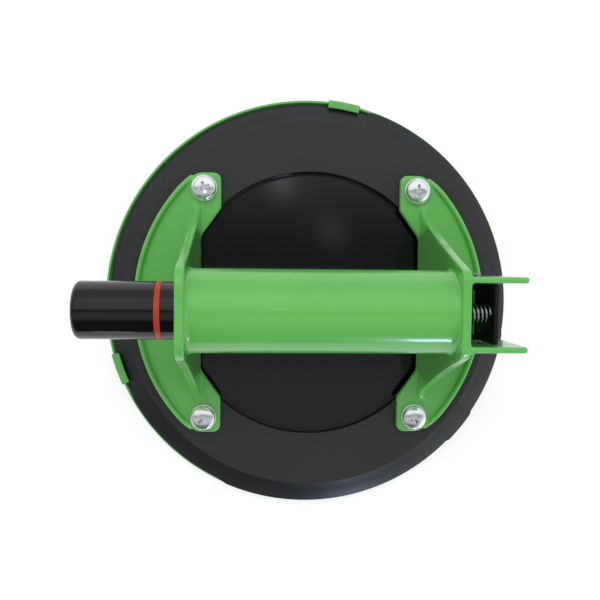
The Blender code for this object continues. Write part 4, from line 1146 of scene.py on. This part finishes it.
# %% [markdown]
# ## Hinge pin, clip and valve housing
#
# The pin's bright head shows outside one ear, and a spring clip holds it at the other. The clip
# keeps its CAD shape. The pin is turned, with a groove for the clip. The housing behind the lever
# is a drilled block with a rounded nose over the air port: an outline, extruded and softened.

# %% Pin
pin_low, pin_high = (corner[1] for corner in box_mm("lever_pin"))
pin_radius, clip_groove = 1.6, (-15.35, -16.25)
pin_section = rounded(
    [
        (0, pin_high),
        (2.1, pin_high, 2.0),
        (2.9, pin_high - 1.1, 0.15),
        (pin_radius, pin_high - 1.1),
        (pin_radius, clip_groove[0]),
        (1.2, clip_groove[0]),
        (1.2, clip_groove[1]),
        (pin_radius, clip_groove[1]),
        (pin_radius, pin_low, 0.3),
        (0, pin_low),
    ],
    4,
)
pin = turn("hinge_pin", pin_section, steps=48, **on_pin)
hand_in(pin, "lifter", "pin_steel", pin_steel, "lever_pin")

# %% Valve housing
base_x, _, housing_top = box_mm("valve_housing")[1]
block_half, block_back, block_front = 8.5, 58.7, 62.9
housing_outline = rounded(
    [
        (60.0, foot_low),
        (base_x, foot_low, 0.6),
        (base_x, 24.0, 2.0),
        (block_front, 38.0, 6.0),
        (block_front, housing_top, 1.0),
        (block_back, housing_top, 1.0),
        (block_back, foot_low, 0.6),
        (60.0, foot_low),
    ],
    6,
)[:-1]
housing = slab("valve_block", housing_outline, -block_half, block_half, "Y")
soften(housing, 0.6, 3, 50)
hand_in(housing, "lifter", "housing_plastic", lever_plastic, "valve_housing")

# %% [markdown]
# ## The pieces inside
#
# The pump's inner pieces and the seals keep their CAD shapes, which are exact and nearly always
# hidden. Each gets the finish of what it is made of, so that the model is whole when it is opened.

# %% Finishes of the hidden pieces
hidden_finishes = {
    "pad_filter": surface("open_cell_foam", "#55554f", "#6a6a62", 0.9, 3, 0.5, 0.2),
    "port_seal": rubber,
    "plug_seal": rubber,
    "vent_seal": rubber,
    "piston_seal": rubber,
    "pump_cylinder": surface("extruded_acetal", "#d8d8d2", "#e4e4de", 0.38, 20, 0.5, 0.004),
    "guide_bush": surface("moulded_acetal", "#dcdcd8", "#e8e8e4", 0.34, 12, 0.5, 0.004),
    "cylinder_plug": lever_plastic,
    "check_valve": surface("red_silicone", "#8a2c1e", "#a03a2a", 0.5, 6, 0.4, 0.01),
    "piston": surface("turned_aluminium", "#b4b6b8", "#c8cacc", 0.3, 4, 0.3, 0.004, Metallic=1.0),
    "piston_rod": zinc,
    "rod_pin": zinc,
    "piston_nut": zinc,
    "pin_clip": spring_wire,
}
brass = surface("turned_brass", "#a8864a", "#bb9a5c", 0.28, 3, 0.3, 0.004, Metallic=1.0)
hidden_finishes.update({f"plate_insert_{number}": brass for number in (1, 2, 3, 4)})
for node, material in hidden_finishes.items():
    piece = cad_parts[node]
    piece.data.materials.clear()
    piece.data.materials.append(material)
print("CAD nodes with a new finish:", len(hidden_finishes))
